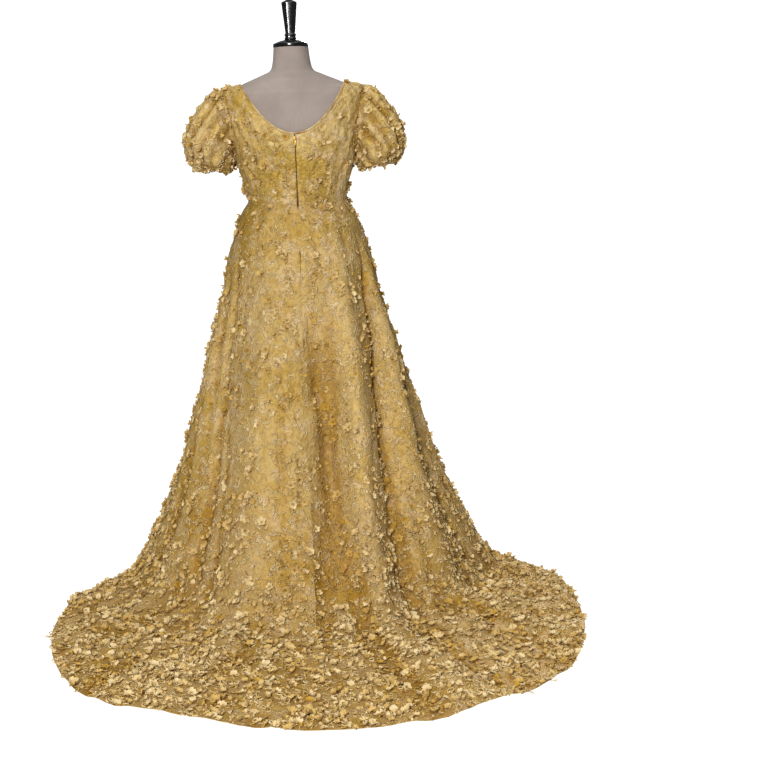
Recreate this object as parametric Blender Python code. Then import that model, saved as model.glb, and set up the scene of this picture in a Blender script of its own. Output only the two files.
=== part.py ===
"""A regency-style gown with puff sleeves and a train, on a limbless dress form.

Metres, +Z up. The origin is on the floor, under the middle of the form's pole. The wearer would face -Y, the
train trails towards +Y, and the wearer's left is +X. Angles run round the body from +X (0) through +Y (90).
"""

import math
import random

import bmesh
import bpy
from mathutils import Vector

# ---- driving sizes --------------------------------------------------------------------------------------
CLOTH = 0.002  # satin with the lace laid on it
SEAM_GAP = 0.0003  # between two pieces at a seam
SHOULDER_EASE = 0.0009  # from the form to the inside of the bodice where it hangs from the shoulders
BODY_EASE = 0.0032  # the same lower down, and round the ends of the shoulders
TAPE_BEHIND = 0.0005  # from the inside of the cloth to the zip's tape
TAPE_THICK = 0.0008
TAPE_HALF_WIDTH = 0.011
BINDING = 0.005  # width of the neck's binding
BINDING_CORNERS = (  # of its section: how far in from the bodice's edge, and how far out from its inside
    # depth, stand
    (SEAM_GAP, 0.0),
    (BINDING, 0.0003),
    (SEAM_GAP, 0.0026),
    (BINDING, 0.0026),
)
SEAM_STEP = 7.5  # degrees between the points of the bodice's and the waistband's edges
FORM_BOTTOM = 0.8222
NECK_TOP = 1.4844
WAIST_SEAM_BACK = 1.052  # height of the seam between waistband and skirt
WAIST_SEAM_SIDE = 1.062
WAIST_SEAM_FRONT = 1.090
BAND_HEIGHT = 0.028
SHOULDER_NECK = (0.1476, 1.3838)  # x and z where the neckline meets the shoulder seam
SHOULDER_TIP = (0.1890, 1.3706)  # x and z where the armhole meets it
UNDERARM = 1.174
BACK_NECK_DROP = 0.1385  # from the shoulder down to the middle of the bodice's edge, under the binding
FRONT_NECK_DROP = 0.153
NECKLINE_CURVE = 2.05
ARMHOLE_SCOOP = 24.0  # degrees that the armhole cuts into the front and the back
CUP_X = 0.072
CUP_HEIGHT = 1.201
CUP_WIDTH = 0.045
CUP_DEPTH = 0.016
FRONT_GATHERS = 18  # round the whole body, if they went on
FRONT_GATHER_HEIGHT = 0.0016
ZIP_END = 0.675  # height of the zip's foot
BLOSSOM_HEIGHT = 0.005
BLOSSOM_RADIUS = 0.012
BODICE_BLOSSOMS = 0.48  # the likelihood that a free cell of a panel carries one
SLEEVE_BLOSSOMS = 0.5
SKIRT_BLOSSOMS = (0.05, 0.38)  # at the waist, and what is added down to the hem
SEED = 11

# ---- tables ---------------------------------------------------------------------------------------------
# Level sections of the form: height, half width, depth to the back and to the front of the middle,
# how far the middle leans to the back, and the squareness of the oval (2 is an ellipse).
FORM_SECTIONS = (
    # height, half_width, back, front, lean, square
    (0.8223, 0.1641, 0.1107, 0.0989, 0.0000, 2.10),
    (0.8717, 0.1697, 0.1203, 0.1026, 0.0000, 2.10),
    (0.9505, 0.1553, 0.1101, 0.0983, 0.0000, 2.10),
    (1.0190, 0.1360, 0.0911, 0.0941, 0.0000, 2.10),
    (1.0629, 0.1332, 0.0861, 0.0959, 0.0000, 2.15),
    (1.1065, 0.1399, 0.0888, 0.1074, 0.0000, 2.20),
    (1.1452, 0.1516, 0.0936, 0.1189, 0.0000, 2.30),
    (1.1741, 0.1609, 0.0973, 0.1265, 0.0000, 2.35),
    (1.2125, 0.1691, 0.1011, 0.1302, 0.0000, 2.45),
    (1.2604, 0.1794, 0.1028, 0.1222, 0.0000, 2.50),
    (1.3080, 0.1872, 0.0987, 0.1045, 0.0000, 2.45),
    (1.3365, 0.1904, 0.0918, 0.0889, 0.0000, 2.35),
    (1.3554, 0.1917, 0.0840, 0.0772, 0.0000, 2.20),
    (1.3649, 0.1909, 0.0782, 0.0705, 0.0000, 2.10),
    (1.3706, 0.1882, 0.0743, 0.0666, 0.0000, 2.05),
    (1.3762, 0.1736, 0.0704, 0.0627, 0.0000, 2.00),
    (1.3837, 0.1466, 0.0665, 0.0579, 0.0000, 2.00),
    (1.3913, 0.1282, 0.0627, 0.0540, 0.0000, 2.00),
    (1.3988, 0.1099, 0.0588, 0.0520, -0.0010, 2.00),
    (1.4102, 0.0828, 0.0559, 0.0501, -0.0029, 2.00),
    (1.4196, 0.0626, 0.0539, 0.0491, -0.0058, 2.00),
    (1.4309, 0.0558, 0.0529, 0.0481, -0.0087, 2.00),
    (1.4544, 0.0514, 0.0509, 0.0461, -0.0135, 2.00),
    (1.4844, 0.0485, 0.0490, 0.0451, -0.0192, 2.00),
)
# The hem on the floor, round the back from the wearer's left to the right: angle and reach from the pole.
HEM_REACH = (
    # angle, reach
    (0.0, 0.535),
    (10.0, 0.612),
    (20.0, 0.700),
    (30.0, 0.782),
    (40.0, 0.874),
    (50.0, 0.975),
    (60.0, 1.073),
    (70.0, 1.136),
    (80.0, 1.173),
    (90.0, 1.198),
    (100.0, 1.207),
    (110.0, 1.179),
    (120.0, 1.114),
    (130.0, 1.006),
    (140.0, 0.893),
    (150.0, 0.803),
    (160.0, 0.722),
    (170.0, 0.616),
    (180.0, 0.535),
)
FRONT_REACH = 0.410  # the hem at the middle of the front
SIDE_REACH = 0.532
TOUCH_BACK = 0.585  # where the middle of the back comes down to the floor
BEND_LEFT = 0.095  # half the length of cloth that turns from hanging to lying, at the wearer's left
BEND_RIGHT = 0.050
# How the skirt flares: a share of the way down from the waist, and the share of the flare reached there.
FLARE = (
    # down, out
    (0.000, 0.000),
    (0.035, 0.060),
    (0.067, 0.094),
    (0.098, 0.120),
    (0.162, 0.176),
    (0.226, 0.206),
    (0.290, 0.251),
    (0.355, 0.306),
    (0.420, 0.351),
    (0.485, 0.394),
    (0.551, 0.462),
    (0.617, 0.514),
    (0.683, 0.570),
    (0.750, 0.642),
    (0.816, 0.718),
    (0.882, 0.806),
    (0.929, 0.865),
    (0.965, 0.925),
    (1.000, 1.000),
)
# The folds hang straighter than the skirt flares, so a line of the cloth that ends at one angle on the floor
# starts nearer the side at the waist. Both are angles from the side.
FOLD_PATHS = (
    # at_floor, at_waist
    (0.0, 0.0),
    (17.0, 6.0),
    (29.0, 13.0),
    (40.0, 21.0),
    (50.0, 29.0),
    (57.0, 35.5),
    (62.0, 42.0),
    (67.5, 50.5),
    (72.0, 59.0),
    (78.0, 71.0),
    (90.0, 90.0),
)
# Long folds of the back: angle at the floor, how much further round to the right the fold starts, half width in
# degrees, height outwards, and where it starts, as a share of the way from the waist to the hem.
BACK_FOLDS = (
    # at_floor, lean, half_width, height, start
    (22.0, -4.0, 8.0, 0.014, 0.10),
    (38.0, -4.0, 6.5, 0.024, 0.05),
    (50.5, 4.0, 4.5, -0.034, 0.05),
    (72.0, 12.0, 15.0, 0.038, 0.02),
    (97.5, -2.0, 7.5, -0.062, 0.12),
    (106.5, 2.0, 7.0, 0.044, 0.00),
    (117.0, 14.0, 6.0, -0.053, 0.03),
    (134.0, 2.0, 9.0, 0.036, 0.03),
    (153.0, 4.0, 6.5, -0.046, 0.12),
    (167.0, 0.0, 5.0, 0.012, 0.20),
)
FOLD_LEAN_END = 0.60  # share of the way down where a fold has come straight under its place on the floor
FRONT_FOLD_COUNT = 6
FRONT_FOLD_HEIGHT = 0.014
# Rings of a puff sleeve from the armhole to the cuff: the uppermost and lowest point, and the half depth.
SLEEVE_RINGS = (
    # top_x, top_z, low_x, low_z, half_depth
    (0.216, 1.374, 0.170, 1.170, 0.072),
    (0.240, 1.352, 0.174, 1.163, 0.086),
    (0.267, 1.318, 0.178, 1.157, 0.095),
    (0.291, 1.280, 0.182, 1.152, 0.098),
    (0.304, 1.239, 0.186, 1.148, 0.094),
    (0.301, 1.200, 0.190, 1.145, 0.083),
    (0.290, 1.170, 0.193, 1.144, 0.067),
    (0.281, 1.156, 0.196, 1.150, 0.051),
)
SLEEVE_GATHERS = 12
GATHER_HEIGHT = 0.0045
CUFF_BAND = 0.014
CUFF_THICK = 0.0015

# Turned profiles of the form's fittings, from the foot of each up.
NECK_CAP = (
    # radius, height
    (0.0490, 0.0000),
    (0.0497, 0.0030),
    (0.0495, 0.0090),
    (0.0475, 0.0105),
    (0.0300, 0.0170),
    (0.0190, 0.0193),
    (0.0165, 0.0208),
)
FINIAL = (
    # radius, height
    (0.0165, 0.0000),
    (0.0182, 0.0020),
    (0.0160, 0.0055),
    (0.0160, 0.0090),
    (0.0182, 0.0125),
    (0.0156, 0.0150),
    (0.0146, 0.0165),
    (0.0231, 0.0985),
    (0.0225, 0.1000),
    (0.0030, 0.1095),
)
BASE = (
    # radius, height
    (0.190, 0.000),
    (0.190, 0.008),
    (0.182, 0.012),
    (0.040, 0.019),
    (0.030, 0.026),
)
POLE_RADIUS = 0.016

# ---- colours --------------------------------------------------------------------------------------------
GOLD_SATIN = ("gold_satin", (0.68, 0.48, 0.16), 0.5, 0.0)
ZIP_TAPE = ("zip_tape", (0.30, 0.20, 0.07), 0.8, 0.0)
ZIP_METAL = ("zip_metal", (0.42, 0.31, 0.14), 0.35, 1.0)
LINEN = ("linen", (0.42, 0.37, 0.33), 0.9, 0.0)
BLACK_LACQUER = ("black_lacquer", (0.012, 0.012, 0.013), 0.18, 0.0)
STEEL = ("stand_steel", (0.05, 0.05, 0.055), 0.4, 0.8)


def material(finish):
    """The material of that name, made once."""
    name, colour, roughness, metallic = finish
    found = bpy.data.materials.get(name)
    if found:
        return found
    made = bpy.data.materials.new(name)
    made.use_nodes = True
    shader = made.node_tree.nodes["Principled BSDF"]
    shader.inputs["Base Color"].default_value = (*colour, 1.0)
    shader.inputs["Roughness"].default_value = roughness
    shader.inputs["Metallic"].default_value = metallic
    return made


def finish_object(name, mesh_maker, finish, sharp_degrees=40.0, origin=(0.0, 0.0, 0.0)):
    """Turns a filled bmesh into a named object with its material, shaded smooth but for its sharp edges."""
    bmesh.ops.recalc_face_normals(mesh_maker, faces=mesh_maker.faces)
    mesh = bpy.data.meshes.new(name)
    mesh_maker.to_mesh(mesh)
    mesh_maker.free()
    mesh.shade_smooth()
    mesh.set_sharp_from_angle(angle=math.radians(sharp_degrees))
    mesh.materials.append(material(finish))
    made = bpy.data.objects.new(name, mesh)
    made.location = origin
    made.parent = group("dress_form" if name.startswith("form_") else "gown")
    bpy.context.scene.collection.objects.link(made)
    return made


def group(name):
    """The empty that holds the gown's or the form's pieces, made once."""
    found = bpy.data.objects.get(name)
    if found:
        return found
    made = bpy.data.objects.new(name, None)
    bpy.context.scene.collection.objects.link(made)
    return made


# ---- curves and sections --------------------------------------------------------------------------------
def smooth(x):
    """0 to 1 with flat ends."""
    x = min(1.0, max(0.0, x))
    return x * x * (3 - 2 * x)


def mix(a, b, share):
    return a + (b - a) * share


def table_value(table, at, column):
    """A column of a table at a place between two rows, on a smooth curve through the rows."""
    keys = [row[0] for row in table]
    at = min(keys[-1], max(keys[0], at))
    i = max(k for k in range(len(keys) - 1) if keys[k] <= at)
    span = keys[i + 1] - keys[i]
    share = (at - keys[i]) / span

    def slope(k):
        if k == 0 or k == len(keys) - 1:
            a, b = (0, 1) if k == 0 else (k - 1, k)
            return (table[b][column] - table[a][column]) / (keys[b] - keys[a])
        before = (table[k][column] - table[k - 1][column]) / (keys[k] - keys[k - 1])
        after = (table[k + 1][column] - table[k][column]) / (keys[k + 1] - keys[k])
        if before * after <= 0:
            return 0.0
        return 2 * before * after / (before + after)

    low, high = table[i][column], table[i + 1][column]
    s2, s3 = share * share, share**3
    return (
        (2 * s3 - 3 * s2 + 1) * low
        + (s3 - 2 * s2 + share) * span * slope(i)
        + (3 * s2 - 2 * s3) * high
        + (s3 - s2) * span * slope(i + 1)
    )


def form_point(angle, height):
    """A point of the form's surface."""
    half_width, back, front, lean, square = (table_value(FORM_SECTIONS, height, k) for k in range(1, 6))
    c, s = math.cos(math.radians(angle)), math.sin(math.radians(angle))
    depth = back if s > 0 else front
    x = math.copysign(abs(c) ** (2 / square), c) * half_width
    y = math.copysign(abs(s) ** (2 / square), s) * depth
    return Vector((x, y + lean, height))


def form_normal(angle, height):
    """The outward direction there."""
    step = 0.5
    across = form_point(angle + step, height) - form_point(angle - step, height)
    low, high = max(FORM_BOTTOM, height - 0.002), min(NECK_TOP, height + 0.002)
    up = form_point(angle, high) - form_point(angle, low)
    return across.cross(up).normalized()


def waist_seam(angle):
    """Height of the seam between waistband and skirt: it rises to the front, straight between its points."""

    def curve(at):
        s = math.sin(math.radians(at))
        end = WAIST_SEAM_BACK if s > 0 else WAIST_SEAM_FRONT
        return mix(WAIST_SEAM_SIDE, end, smooth(abs(s)))

    low = math.floor(angle / SEAM_STEP) * SEAM_STEP
    return mix(curve(low), curve(low + SEAM_STEP), (angle - low) / SEAM_STEP)


def body_ease(angle, height):
    """How far the bodice's inside stands off the form."""
    place = form_point(angle, height)
    behind = math.sin(math.radians(angle)) > 0
    hanging = smooth((height - 1.355) / 0.02) * smooth((0.174 - abs(place.x)) / 0.02)
    hanging *= smooth((0.030 - abs(place.y)) / 0.02)
    ease = mix(BODY_EASE, SHOULDER_EASE, hanging)
    ease += 0.002 * smooth((abs(place.x) - 0.170) / 0.012) * smooth((height - 1.336) / 0.02)
    return ease if behind else ease + bust_fullness(angle, height)


def bust_fullness(angle, height):
    """The cups and the soft gathers under them, on the front only."""
    place = form_point(angle, height)
    away = ((abs(place.x) - CUP_X) / CUP_WIDTH) ** 2 + ((height - CUP_HEIGHT) / CUP_WIDTH) ** 2
    cup = CUP_DEPTH * math.exp(-away)
    front = smooth(-math.sin(math.radians(angle)) * 2)
    gathers = FRONT_GATHER_HEIGHT * (1 + math.cos(math.radians(angle * FRONT_GATHERS)))
    low = 1 - smooth((height - WAIST_SEAM_FRONT - BAND_HEIGHT) / 0.06)
    return cup + front * (0.0015 + gathers * low)


def body_point(angle, height, out=0.0):
    """A point of the bodice's inside, or that far outside it."""
    return form_point(angle, height) + form_normal(angle, height) * (body_ease(angle, height) + out)


# ---- walls of cloth -------------------------------------------------------------------------------------
def wall(name, panels, finish, round_it=False, welded=False):
    """A closed wall of cloth between two grids of points, which run row by row, as an object of its own.

    panels holds (inner, outer, blossoms) once for each grid. Where round_it is set, each row is a ring.
    Where welded is set, the panels meet in the plane x = 0. blossoms names the cells (row, column) whose
    outer side carries a raised blossom.
    """
    made = bmesh.new()
    carriers = []
    for inner, outer, blossoms in panels:
        carriers += add_panel(made, inner, outer, round_it, blossoms)
    if welded:
        meeting = [face for face in made.faces if all(abs(vert.co.x) < 1e-7 for vert in face.verts)]
        bmesh.ops.delete(made, geom=meeting, context="FACES")
        bmesh.ops.remove_doubles(made, verts=[v for v in made.verts if abs(v.co.x) < 1e-7], dist=1e-6)
    bmesh.ops.recalc_face_normals(made, faces=made.faces)
    for face in carriers:
        raise_blossom(made, face)
    return finish_object(name, made, finish)


def add_panel(made, inner, outer, round_it, blossoms):
    """Adds one grid's wall. Both sides are split along the same diagonals, so that they can't cross."""
    rows, columns = len(inner), len(inner[0])
    low = [[made.verts.new(p) for p in row] for row in inner]
    high = [[made.verts.new(p) for p in row] for row in outer]
    cells = columns if round_it else columns - 1
    carriers = []
    for i in range(rows - 1):
        for j in range(cells):
            k = (j + 1) % columns
            straight = (inner[i][j] - inner[i + 1][k]).length <= (inner[i][k] - inner[i + 1][j]).length
            for side in (low, high):
                corners = [side[i][j], side[i][k], side[i + 1][k], side[i + 1][j]]
                if side is high and (i, j) in blossoms:
                    carriers.append(made.faces.new(corners))
                    continue
                a, b, c, d = corners if straight else corners[1:] + corners[:1]
                made.faces.new((a, b, c))
                made.faces.new((a, c, d))
    for i in (0, rows - 1):
        for j in range(cells):
            k = (j + 1) % columns
            made.faces.new((low[i][j], low[i][k], high[i][k], high[i][j]))
    if not round_it:
        for j in (0, columns - 1):
            for i in range(rows - 1):
                made.faces.new((low[i][j], low[i + 1][j], high[i + 1][j], high[i][j]))
    return carriers


def raise_blossom(made, face):
    """A four-petalled blossom of its real size in the middle of a face: a raised plate with a dimple."""
    centre, normal = face.calc_center_median(), face.normal.copy()
    radius = min(BLOSSOM_RADIUS, 0.34 * min(edge.calc_length() for edge in face.edges))
    inset = dict(use_even_offset=True, use_interpolate=False, use_relative_offset=False)
    bmesh.ops.inset_individual(made, faces=[face], thickness=radius * 0.2, depth=0.0, **inset)
    for vert in face.verts:
        along = vert.co - centre
        along -= normal * along.dot(normal)
        vert.co = centre + along.normalized() * radius + normal * 0.0004
    bmesh.ops.inset_individual(made, faces=[face], thickness=radius * 0.08, depth=BLOSSOM_HEIGHT, **inset)
    dimple = bmesh.ops.poke(made, faces=[face])["verts"][0]
    dimple.co -= normal * BLOSSOM_HEIGHT * 0.5


def is_flat_cell(grid, i, j, round_it):
    """Whether a cell of the grid is flat enough to carry a blossom."""
    k = (j + 1) % len(grid[0]) if round_it else j + 1
    a, b, c, d = grid[i][j], grid[i][k], grid[i + 1][k], grid[i + 1][j]
    across = (b - a).cross(d - a)
    if across.length < 1e-9:
        return False
    short = min((b - a).length, (c - b).length, (d - c).length, (a - d).length)
    return abs((c - a).dot(across.normalized())) < 0.05 * short and short > 0.016


def pick_blossoms(grid, share, chance, round_it=False):
    """Cells, no two of them neighbours, that carry a blossom. share gives each row's likelihood."""
    taken = set()
    cells = len(grid[0]) if round_it else len(grid[0]) - 1
    for i in range(1, len(grid) - 2):
        for j in range(0 if round_it else 1, cells if round_it else cells - 1):
            near = {(i + a, (j + b) % len(grid[0])) for a in (-1, 0, 1) for b in (-1, 0, 1)}
            if near & taken or chance.random() > share(i / (len(grid) - 1)):
                continue
            if is_flat_cell(grid, i, j, round_it):
                taken.add((i, j))
    return taken


def outward(points, i, j, round_it=False):
    """The outward direction of a grid at a point, from its neighbours."""
    rows, columns = len(points), len(points[0])
    up = points[min(i + 1, rows - 1)][j] - points[max(i - 1, 0)][j]
    if round_it:
        across = points[i][(j + 1) % columns] - points[i][(j - 1) % columns]
    else:
        across = points[i][min(j + 1, columns - 1)] - points[i][max(j - 1, 0)]
    return across.cross(up).normalized()


# ---- bodice ---------------------------------------------------------------------------------------------
def neckline_height(x, drop):
    """Height of the neckline at that distance from the middle."""
    share = abs(x) / SHOULDER_NECK[0]
    return SHOULDER_NECK[1] - drop + drop * share**NECKLINE_CURVE


def neckline_place(angle, drop):
    """Height at which a ray of the form's surface at that angle meets the neckline."""
    low, high = SHOULDER_NECK[1] - drop, SHOULDER_NECK[1]
    for _ in range(40):
        middle = (low + high) / 2
        if neckline_height(form_point(angle, middle).x, drop) > middle:
            low = middle
        else:
            high = middle
    return (low + high) / 2


BODICE_ROWS = 14
BODICE_COLUMNS = 12  # of one half
NECK_ROW = 5  # the row where the neckline starts in the middle
ARM_ROW = 4  # the row where the armhole starts at the side
NECK_ANGLES = (90.0, 77.0, 66.0, 56.0, 46.0, 36.0, 26.0, 17.0, 8.0, 0.0)


def bodice_edges(front):
    """(angle, height) along the middle and neckline, and along the side seam and armhole, for each row."""
    turn = -1 if front else 1
    drop = FRONT_NECK_DROP if front else BACK_NECK_DROP
    neck_bottom = SHOULDER_NECK[1] - drop
    waist_middle = waist_seam(turn * 90.0) + BAND_HEIGHT + SEAM_GAP / 2
    waist_side = waist_seam(0.0) + BAND_HEIGHT + SEAM_GAP / 2
    inside, outside = [], []
    for row in range(BODICE_ROWS + 1):
        if row <= NECK_ROW:
            inside.append((90.0, mix(waist_middle, neck_bottom, row / NECK_ROW)))
        else:
            angle = NECK_ANGLES[row - NECK_ROW]
            at = neckline_place(turn * angle, drop) if angle else SHOULDER_NECK[1]
            inside.append((angle, at))
        if row <= ARM_ROW:
            outside.append((0.0, mix(waist_side, UNDERARM, row / ARM_ROW)))
        else:
            share = (row - ARM_ROW) / (BODICE_ROWS - ARM_ROW)
            scoop = ARMHOLE_SCOOP * math.sin(math.pi * share) ** 0.6 if share < 1 else 0.0
            outside.append((scoop, mix(UNDERARM, SHOULDER_TIP[1], share**0.85)))
    return inside, outside


def bodice_panel(front, columns):
    """Inner and outer points of one half of the front or back, from the middle out to the side, at +X."""
    turn = -1 if front else 1
    inside, outside = bodice_edges(front)
    inner, outer = [], []
    for row, (mid, side) in enumerate(zip(inside, outside)):
        inner_row, outer_row = [], []
        for j in range(columns + 1):
            share = j / columns
            angle, height = turn * mix(mid[0], side[0], share), mix(mid[1], side[1], share)
            if row <= NECK_ROW:
                along = waist_line_share(row, turn, angle)
                height += along
            point = body_point(angle, height)
            normal = form_normal(angle, height)
            at_side_seam = j == columns and row <= ARM_ROW
            at_shoulder = row == BODICE_ROWS
            if at_side_seam or at_shoulder:
                normal = Vector((normal.x, 0, normal.z)).normalized()
                point = form_point(angle, height) + normal * body_ease(abs(angle), height)
                point.y += turn * SEAM_GAP / 2
            if j == 0 and row <= NECK_ROW:
                normal = Vector((0, normal.y, normal.z)).normalized()
                point.x = 0.0 if front else SEAM_GAP
            if row == 0:
                normal = Vector((normal.x, normal.y, 0)).normalized()
            inner_row.append(point)
            outer_row.append(point + normal * (CLOTH + drape_lines(front, angle, height)))
        inner.append(inner_row)
        outer.append(outer_row)
    return inner, outer


def waist_line_share(row, turn, angle):
    """What a low row still needs to follow the curved waist seam between the middle and the side."""
    straight = mix(waist_seam(turn * 90.0), waist_seam(0.0), 1 - abs(angle) / 90.0)
    return (waist_seam(angle) - straight) * (1 - row / NECK_ROW)


def drape_lines(front, angle, height):
    """Soft drag lines of the back, from the armhole down towards the middle of the waist."""
    if front or height < 1.097 or height > 1.336 or angle < 25:
        return 0.0
    fade = smooth((height - 1.097) / 0.04) * smooth((1.336 - height) / 0.05) * smooth((88 - angle) / 12)
    return 0.0012 * fade * (1 + math.cos(math.radians((angle + (height - 1.097) * 160) * 20)))


def mirrored(grid):
    """The same grid on the other side of the body."""
    return [[Vector((-p.x, p.y, p.z)) for p in row] for row in grid]


def make_bodice(chance):
    """The front in one piece and the two backs that the zip parts. Returns what other pieces start from."""
    back_in, back_out = bodice_panel(False, BODICE_COLUMNS)
    front_in, front_out = bodice_panel(True, BODICE_COLUMNS)

    def likely(share):
        return BODICE_BLOSSOMS

    for name, turned in (("bodice_back_left", False), ("bodice_back_right", True)):
        low, high = (mirrored(back_in), mirrored(back_out)) if turned else (back_in, back_out)
        wall(name, [(low, high, pick_blossoms(low, likely, chance))], GOLD_SATIN)
    halves = []
    for low, high in ((front_in, front_out), (mirrored(front_in), mirrored(front_out))):
        halves.append((low, high, pick_blossoms(low, likely, chance)))
    wall("bodice_front", halves, GOLD_SATIN, welded=True)
    down_back = [(back_in[i][-1], back_out[i][-1]) for i in range(BODICE_ROWS, ARM_ROW - 1, -1)]
    up_front = [(front_in[i][-1], front_out[i][-1]) for i in range(ARM_ROW, BODICE_ROWS + 1)]
    neck = [(front_in[i][0], front_out[i][0]) for i in range(NECK_ROW, BODICE_ROWS)]
    neck += [(back_in[i][0], back_out[i][0]) for i in range(BODICE_ROWS, NECK_ROW - 1, -1)]
    return down_back + up_front, neck, back_in


def make_neck_binding(neck):
    """The smooth edge round the neck, open at the middle of the back, from the bodice's own edge inwards."""
    lines = [[], [], [], []]
    for k, (low, high) in enumerate(neck):
        before, after = neck[max(k - 1, 0)][0], neck[min(k + 1, len(neck) - 1)][0]
        if k == 0:
            before = Vector((-after.x, after.y, after.z))
        normal = (high - low).normalized()
        into = (after - before).cross(normal).normalized()
        into = into if into.z > 0 else -into
        if k in (0, len(neck) - 1):
            into.x = 0.0
        for line, (depth, stand) in zip(lines, BINDING_CORNERS):
            line.append(low + into * depth + normal * stand)
    low_edge, low_rim, high_edge, high_rim = lines
    inner = [list(line) for line in zip(low_edge, low_rim)]
    outer = [list(line) for line in zip(high_edge, high_rim)]
    halves = [(inner, outer, ()), (mirrored(inner), mirrored(outer), ())]
    wall("neck_binding", halves, GOLD_SATIN, welded=True)


def make_waistband():
    """The narrow band round the body, open at the middle of the back. Returns its inner points."""
    columns = round(360 / SEAM_STEP)
    inner, outer = [], []
    for row in range(3):
        inner_row, outer_row = [], []
        for j in range(columns + 1):
            angle = mix(-270.0, 90.0, j / columns)
            low = waist_seam(angle) + SEAM_GAP / 2
            high = waist_seam(angle) + BAND_HEIGHT - SEAM_GAP / 2
            height = mix(low, high, row / 2)
            normal = form_normal(angle, height)
            normal = Vector((normal.x, normal.y, 0)).normalized()
            point = body_point(angle, height)
            if j in (0, columns):
                normal = Vector((0, 1, 0))
                point.x = SEAM_GAP if j else -SEAM_GAP
            inner_row.append(point)
            outer_row.append(point + normal * (CLOTH + 0.0004 * (row == 1)))
        inner.append(inner_row)
        outer.append(outer_row)
    wall("waistband", [(inner, outer, ())], GOLD_SATIN)
    return inner


# ---- sleeves --------------------------------------------------------------------------------------------
PER_CHORD = 2  # sleeve columns to one straight stretch of the armhole's edge


def armhole_ring(edge):
    """The armhole's edge as a closed ring of (inner, outer) points, with the straight stretches divided."""
    ring = []
    loop = [p for i, p in enumerate(edge) if i == 0 or (p[0] - edge[i - 1][0]).length > 0.001]
    if (loop[0][0] - loop[-1][0]).length < 0.001:
        loop.pop()
    for i, (low, high) in enumerate(loop):
        next_low, next_high = loop[(i + 1) % len(loop)]
        for k in range(PER_CHORD):
            share = k / PER_CHORD
            ring.append((low.lerp(next_low, share), high.lerp(next_high, share)))
    return ring


def sleeve_ring(row, angle):
    """A point of one of the sleeve's rings. The angle runs from the shoulder over the back."""
    top_x, top_z, low_x, low_z, half_depth = row
    middle = Vector(((top_x + low_x) / 2, 0, (top_z + low_z) / 2))
    up = Vector((top_x, 0, top_z)) - middle
    c, s = math.cos(angle), math.sin(angle)
    return middle + up * c + Vector((0, half_depth * math.copysign(abs(s) ** 0.9, s), 0))


def make_sleeve(side, edge, chance):
    """A puff gathered into the armhole and the cuff, and the narrow band that holds the cuff."""
    ring = armhole_ring(edge)
    columns = len(ring)
    centre = sum((low for low, _ in ring), Vector()) / columns
    inner, outer = [[], []], [[], []]
    for low, high in ring:
        normal = (high - low).normalized()
        into = centre - low
        into = (into - normal * into.dot(normal)).normalized()
        start = low + into * SEAM_GAP * 2
        for k, stand in enumerate((0.0, 0.0052)):
            outer[k].append(start + normal * stand)
            inner[k].append(start + into * CLOTH + normal * stand)
    angles = ring_angles(ring)
    base = [outer[1]]
    for r, row in enumerate(SLEEVE_RINGS):
        fullness = math.sin(math.pi * (r + 0.8) / (len(SLEEVE_RINGS) + 0.3))
        line = []
        for j, angle in enumerate(angles):
            point = sleeve_ring(row, angle)
            middle = Vector(((row[0] + row[2]) / 2, 0, (row[1] + row[3]) / 2))
            wave = math.cos(j * math.tau * SLEEVE_GATHERS / columns) * (0.35 + 0.65 * fullness)
            wave *= mix(0.15, 1.0, smooth(0.5 + 0.5 * math.cos(angle)))
            wave *= GATHER_HEIGHT if r < len(SLEEVE_RINGS) - 1 else 0.0
            line.append(point + (point - middle).normalized() * wave)
        base.append(line)
    for r in range(1, len(base)):
        inner_row, outer_row = [], []
        for j in range(columns):
            normal = -outward(base, r, j, round_it=True)
            inner_row.append(base[r][j] - normal * CLOTH / 2)
            outer_row.append(base[r][j] + normal * CLOTH / 2)
        inner.append(inner_row)
        outer.append(outer_row)

    def likely(share):
        return SLEEVE_BLOSSOMS if share > 0.2 else 0.0

    cells = pick_blossoms(inner, likely, chance, round_it=True)
    make_cuff_band(side, angles)
    if side == "right":
        inner, outer = mirrored(inner), mirrored(outer)
    wall(f"sleeve_{side}", [(inner, outer, cells)], GOLD_SATIN, round_it=True)


def ring_angles(ring):
    """An angle for each column, spread as the armhole's own edge is, from the shoulder over the back."""
    lengths = [(ring[(j + 1) % len(ring)][0] - ring[j][0]).length for j in range(len(ring))]
    total, so_far, angles = sum(lengths), 0.0, []
    for length in lengths:
        angles.append(math.tau * so_far / total)
        so_far += length
    return angles


def make_cuff_band(side, angles):
    """The band inside the puff's lower edge."""
    top_x, top_z, low_x, low_z, half_depth = SLEEVE_RINGS[-1]
    middle = Vector(((top_x + low_x) / 2, 0, (top_z + low_z) / 2))
    along = Vector((top_x - low_x, 0, top_z - low_z)).normalized()
    up = Vector((-along.z, 0, along.x))
    half = (Vector((top_x, 0, top_z)) - middle).length
    inner, outer = [], []
    for level in (0.0, CUFF_BAND):
        inner_row, outer_row = [], []
        for angle in angles:
            direction = along * half * math.cos(angle) + Vector((0, half_depth * math.sin(angle), 0))
            reach = direction.length - CLOTH / 2 - SEAM_GAP * 1.3  # the puff's flat sides come nearer
            point = middle + up * level + direction.normalized() * reach
            outer_row.append(point)
            inner_row.append(point - direction.normalized() * CUFF_THICK)
        inner.append(inner_row)
        outer.append(outer_row)
    if side == "right":
        inner, outer = mirrored(inner), mirrored(outer)
    wall(f"sleeve_band_{side}", [(inner, outer, ())], GOLD_SATIN, round_it=True)


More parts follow.
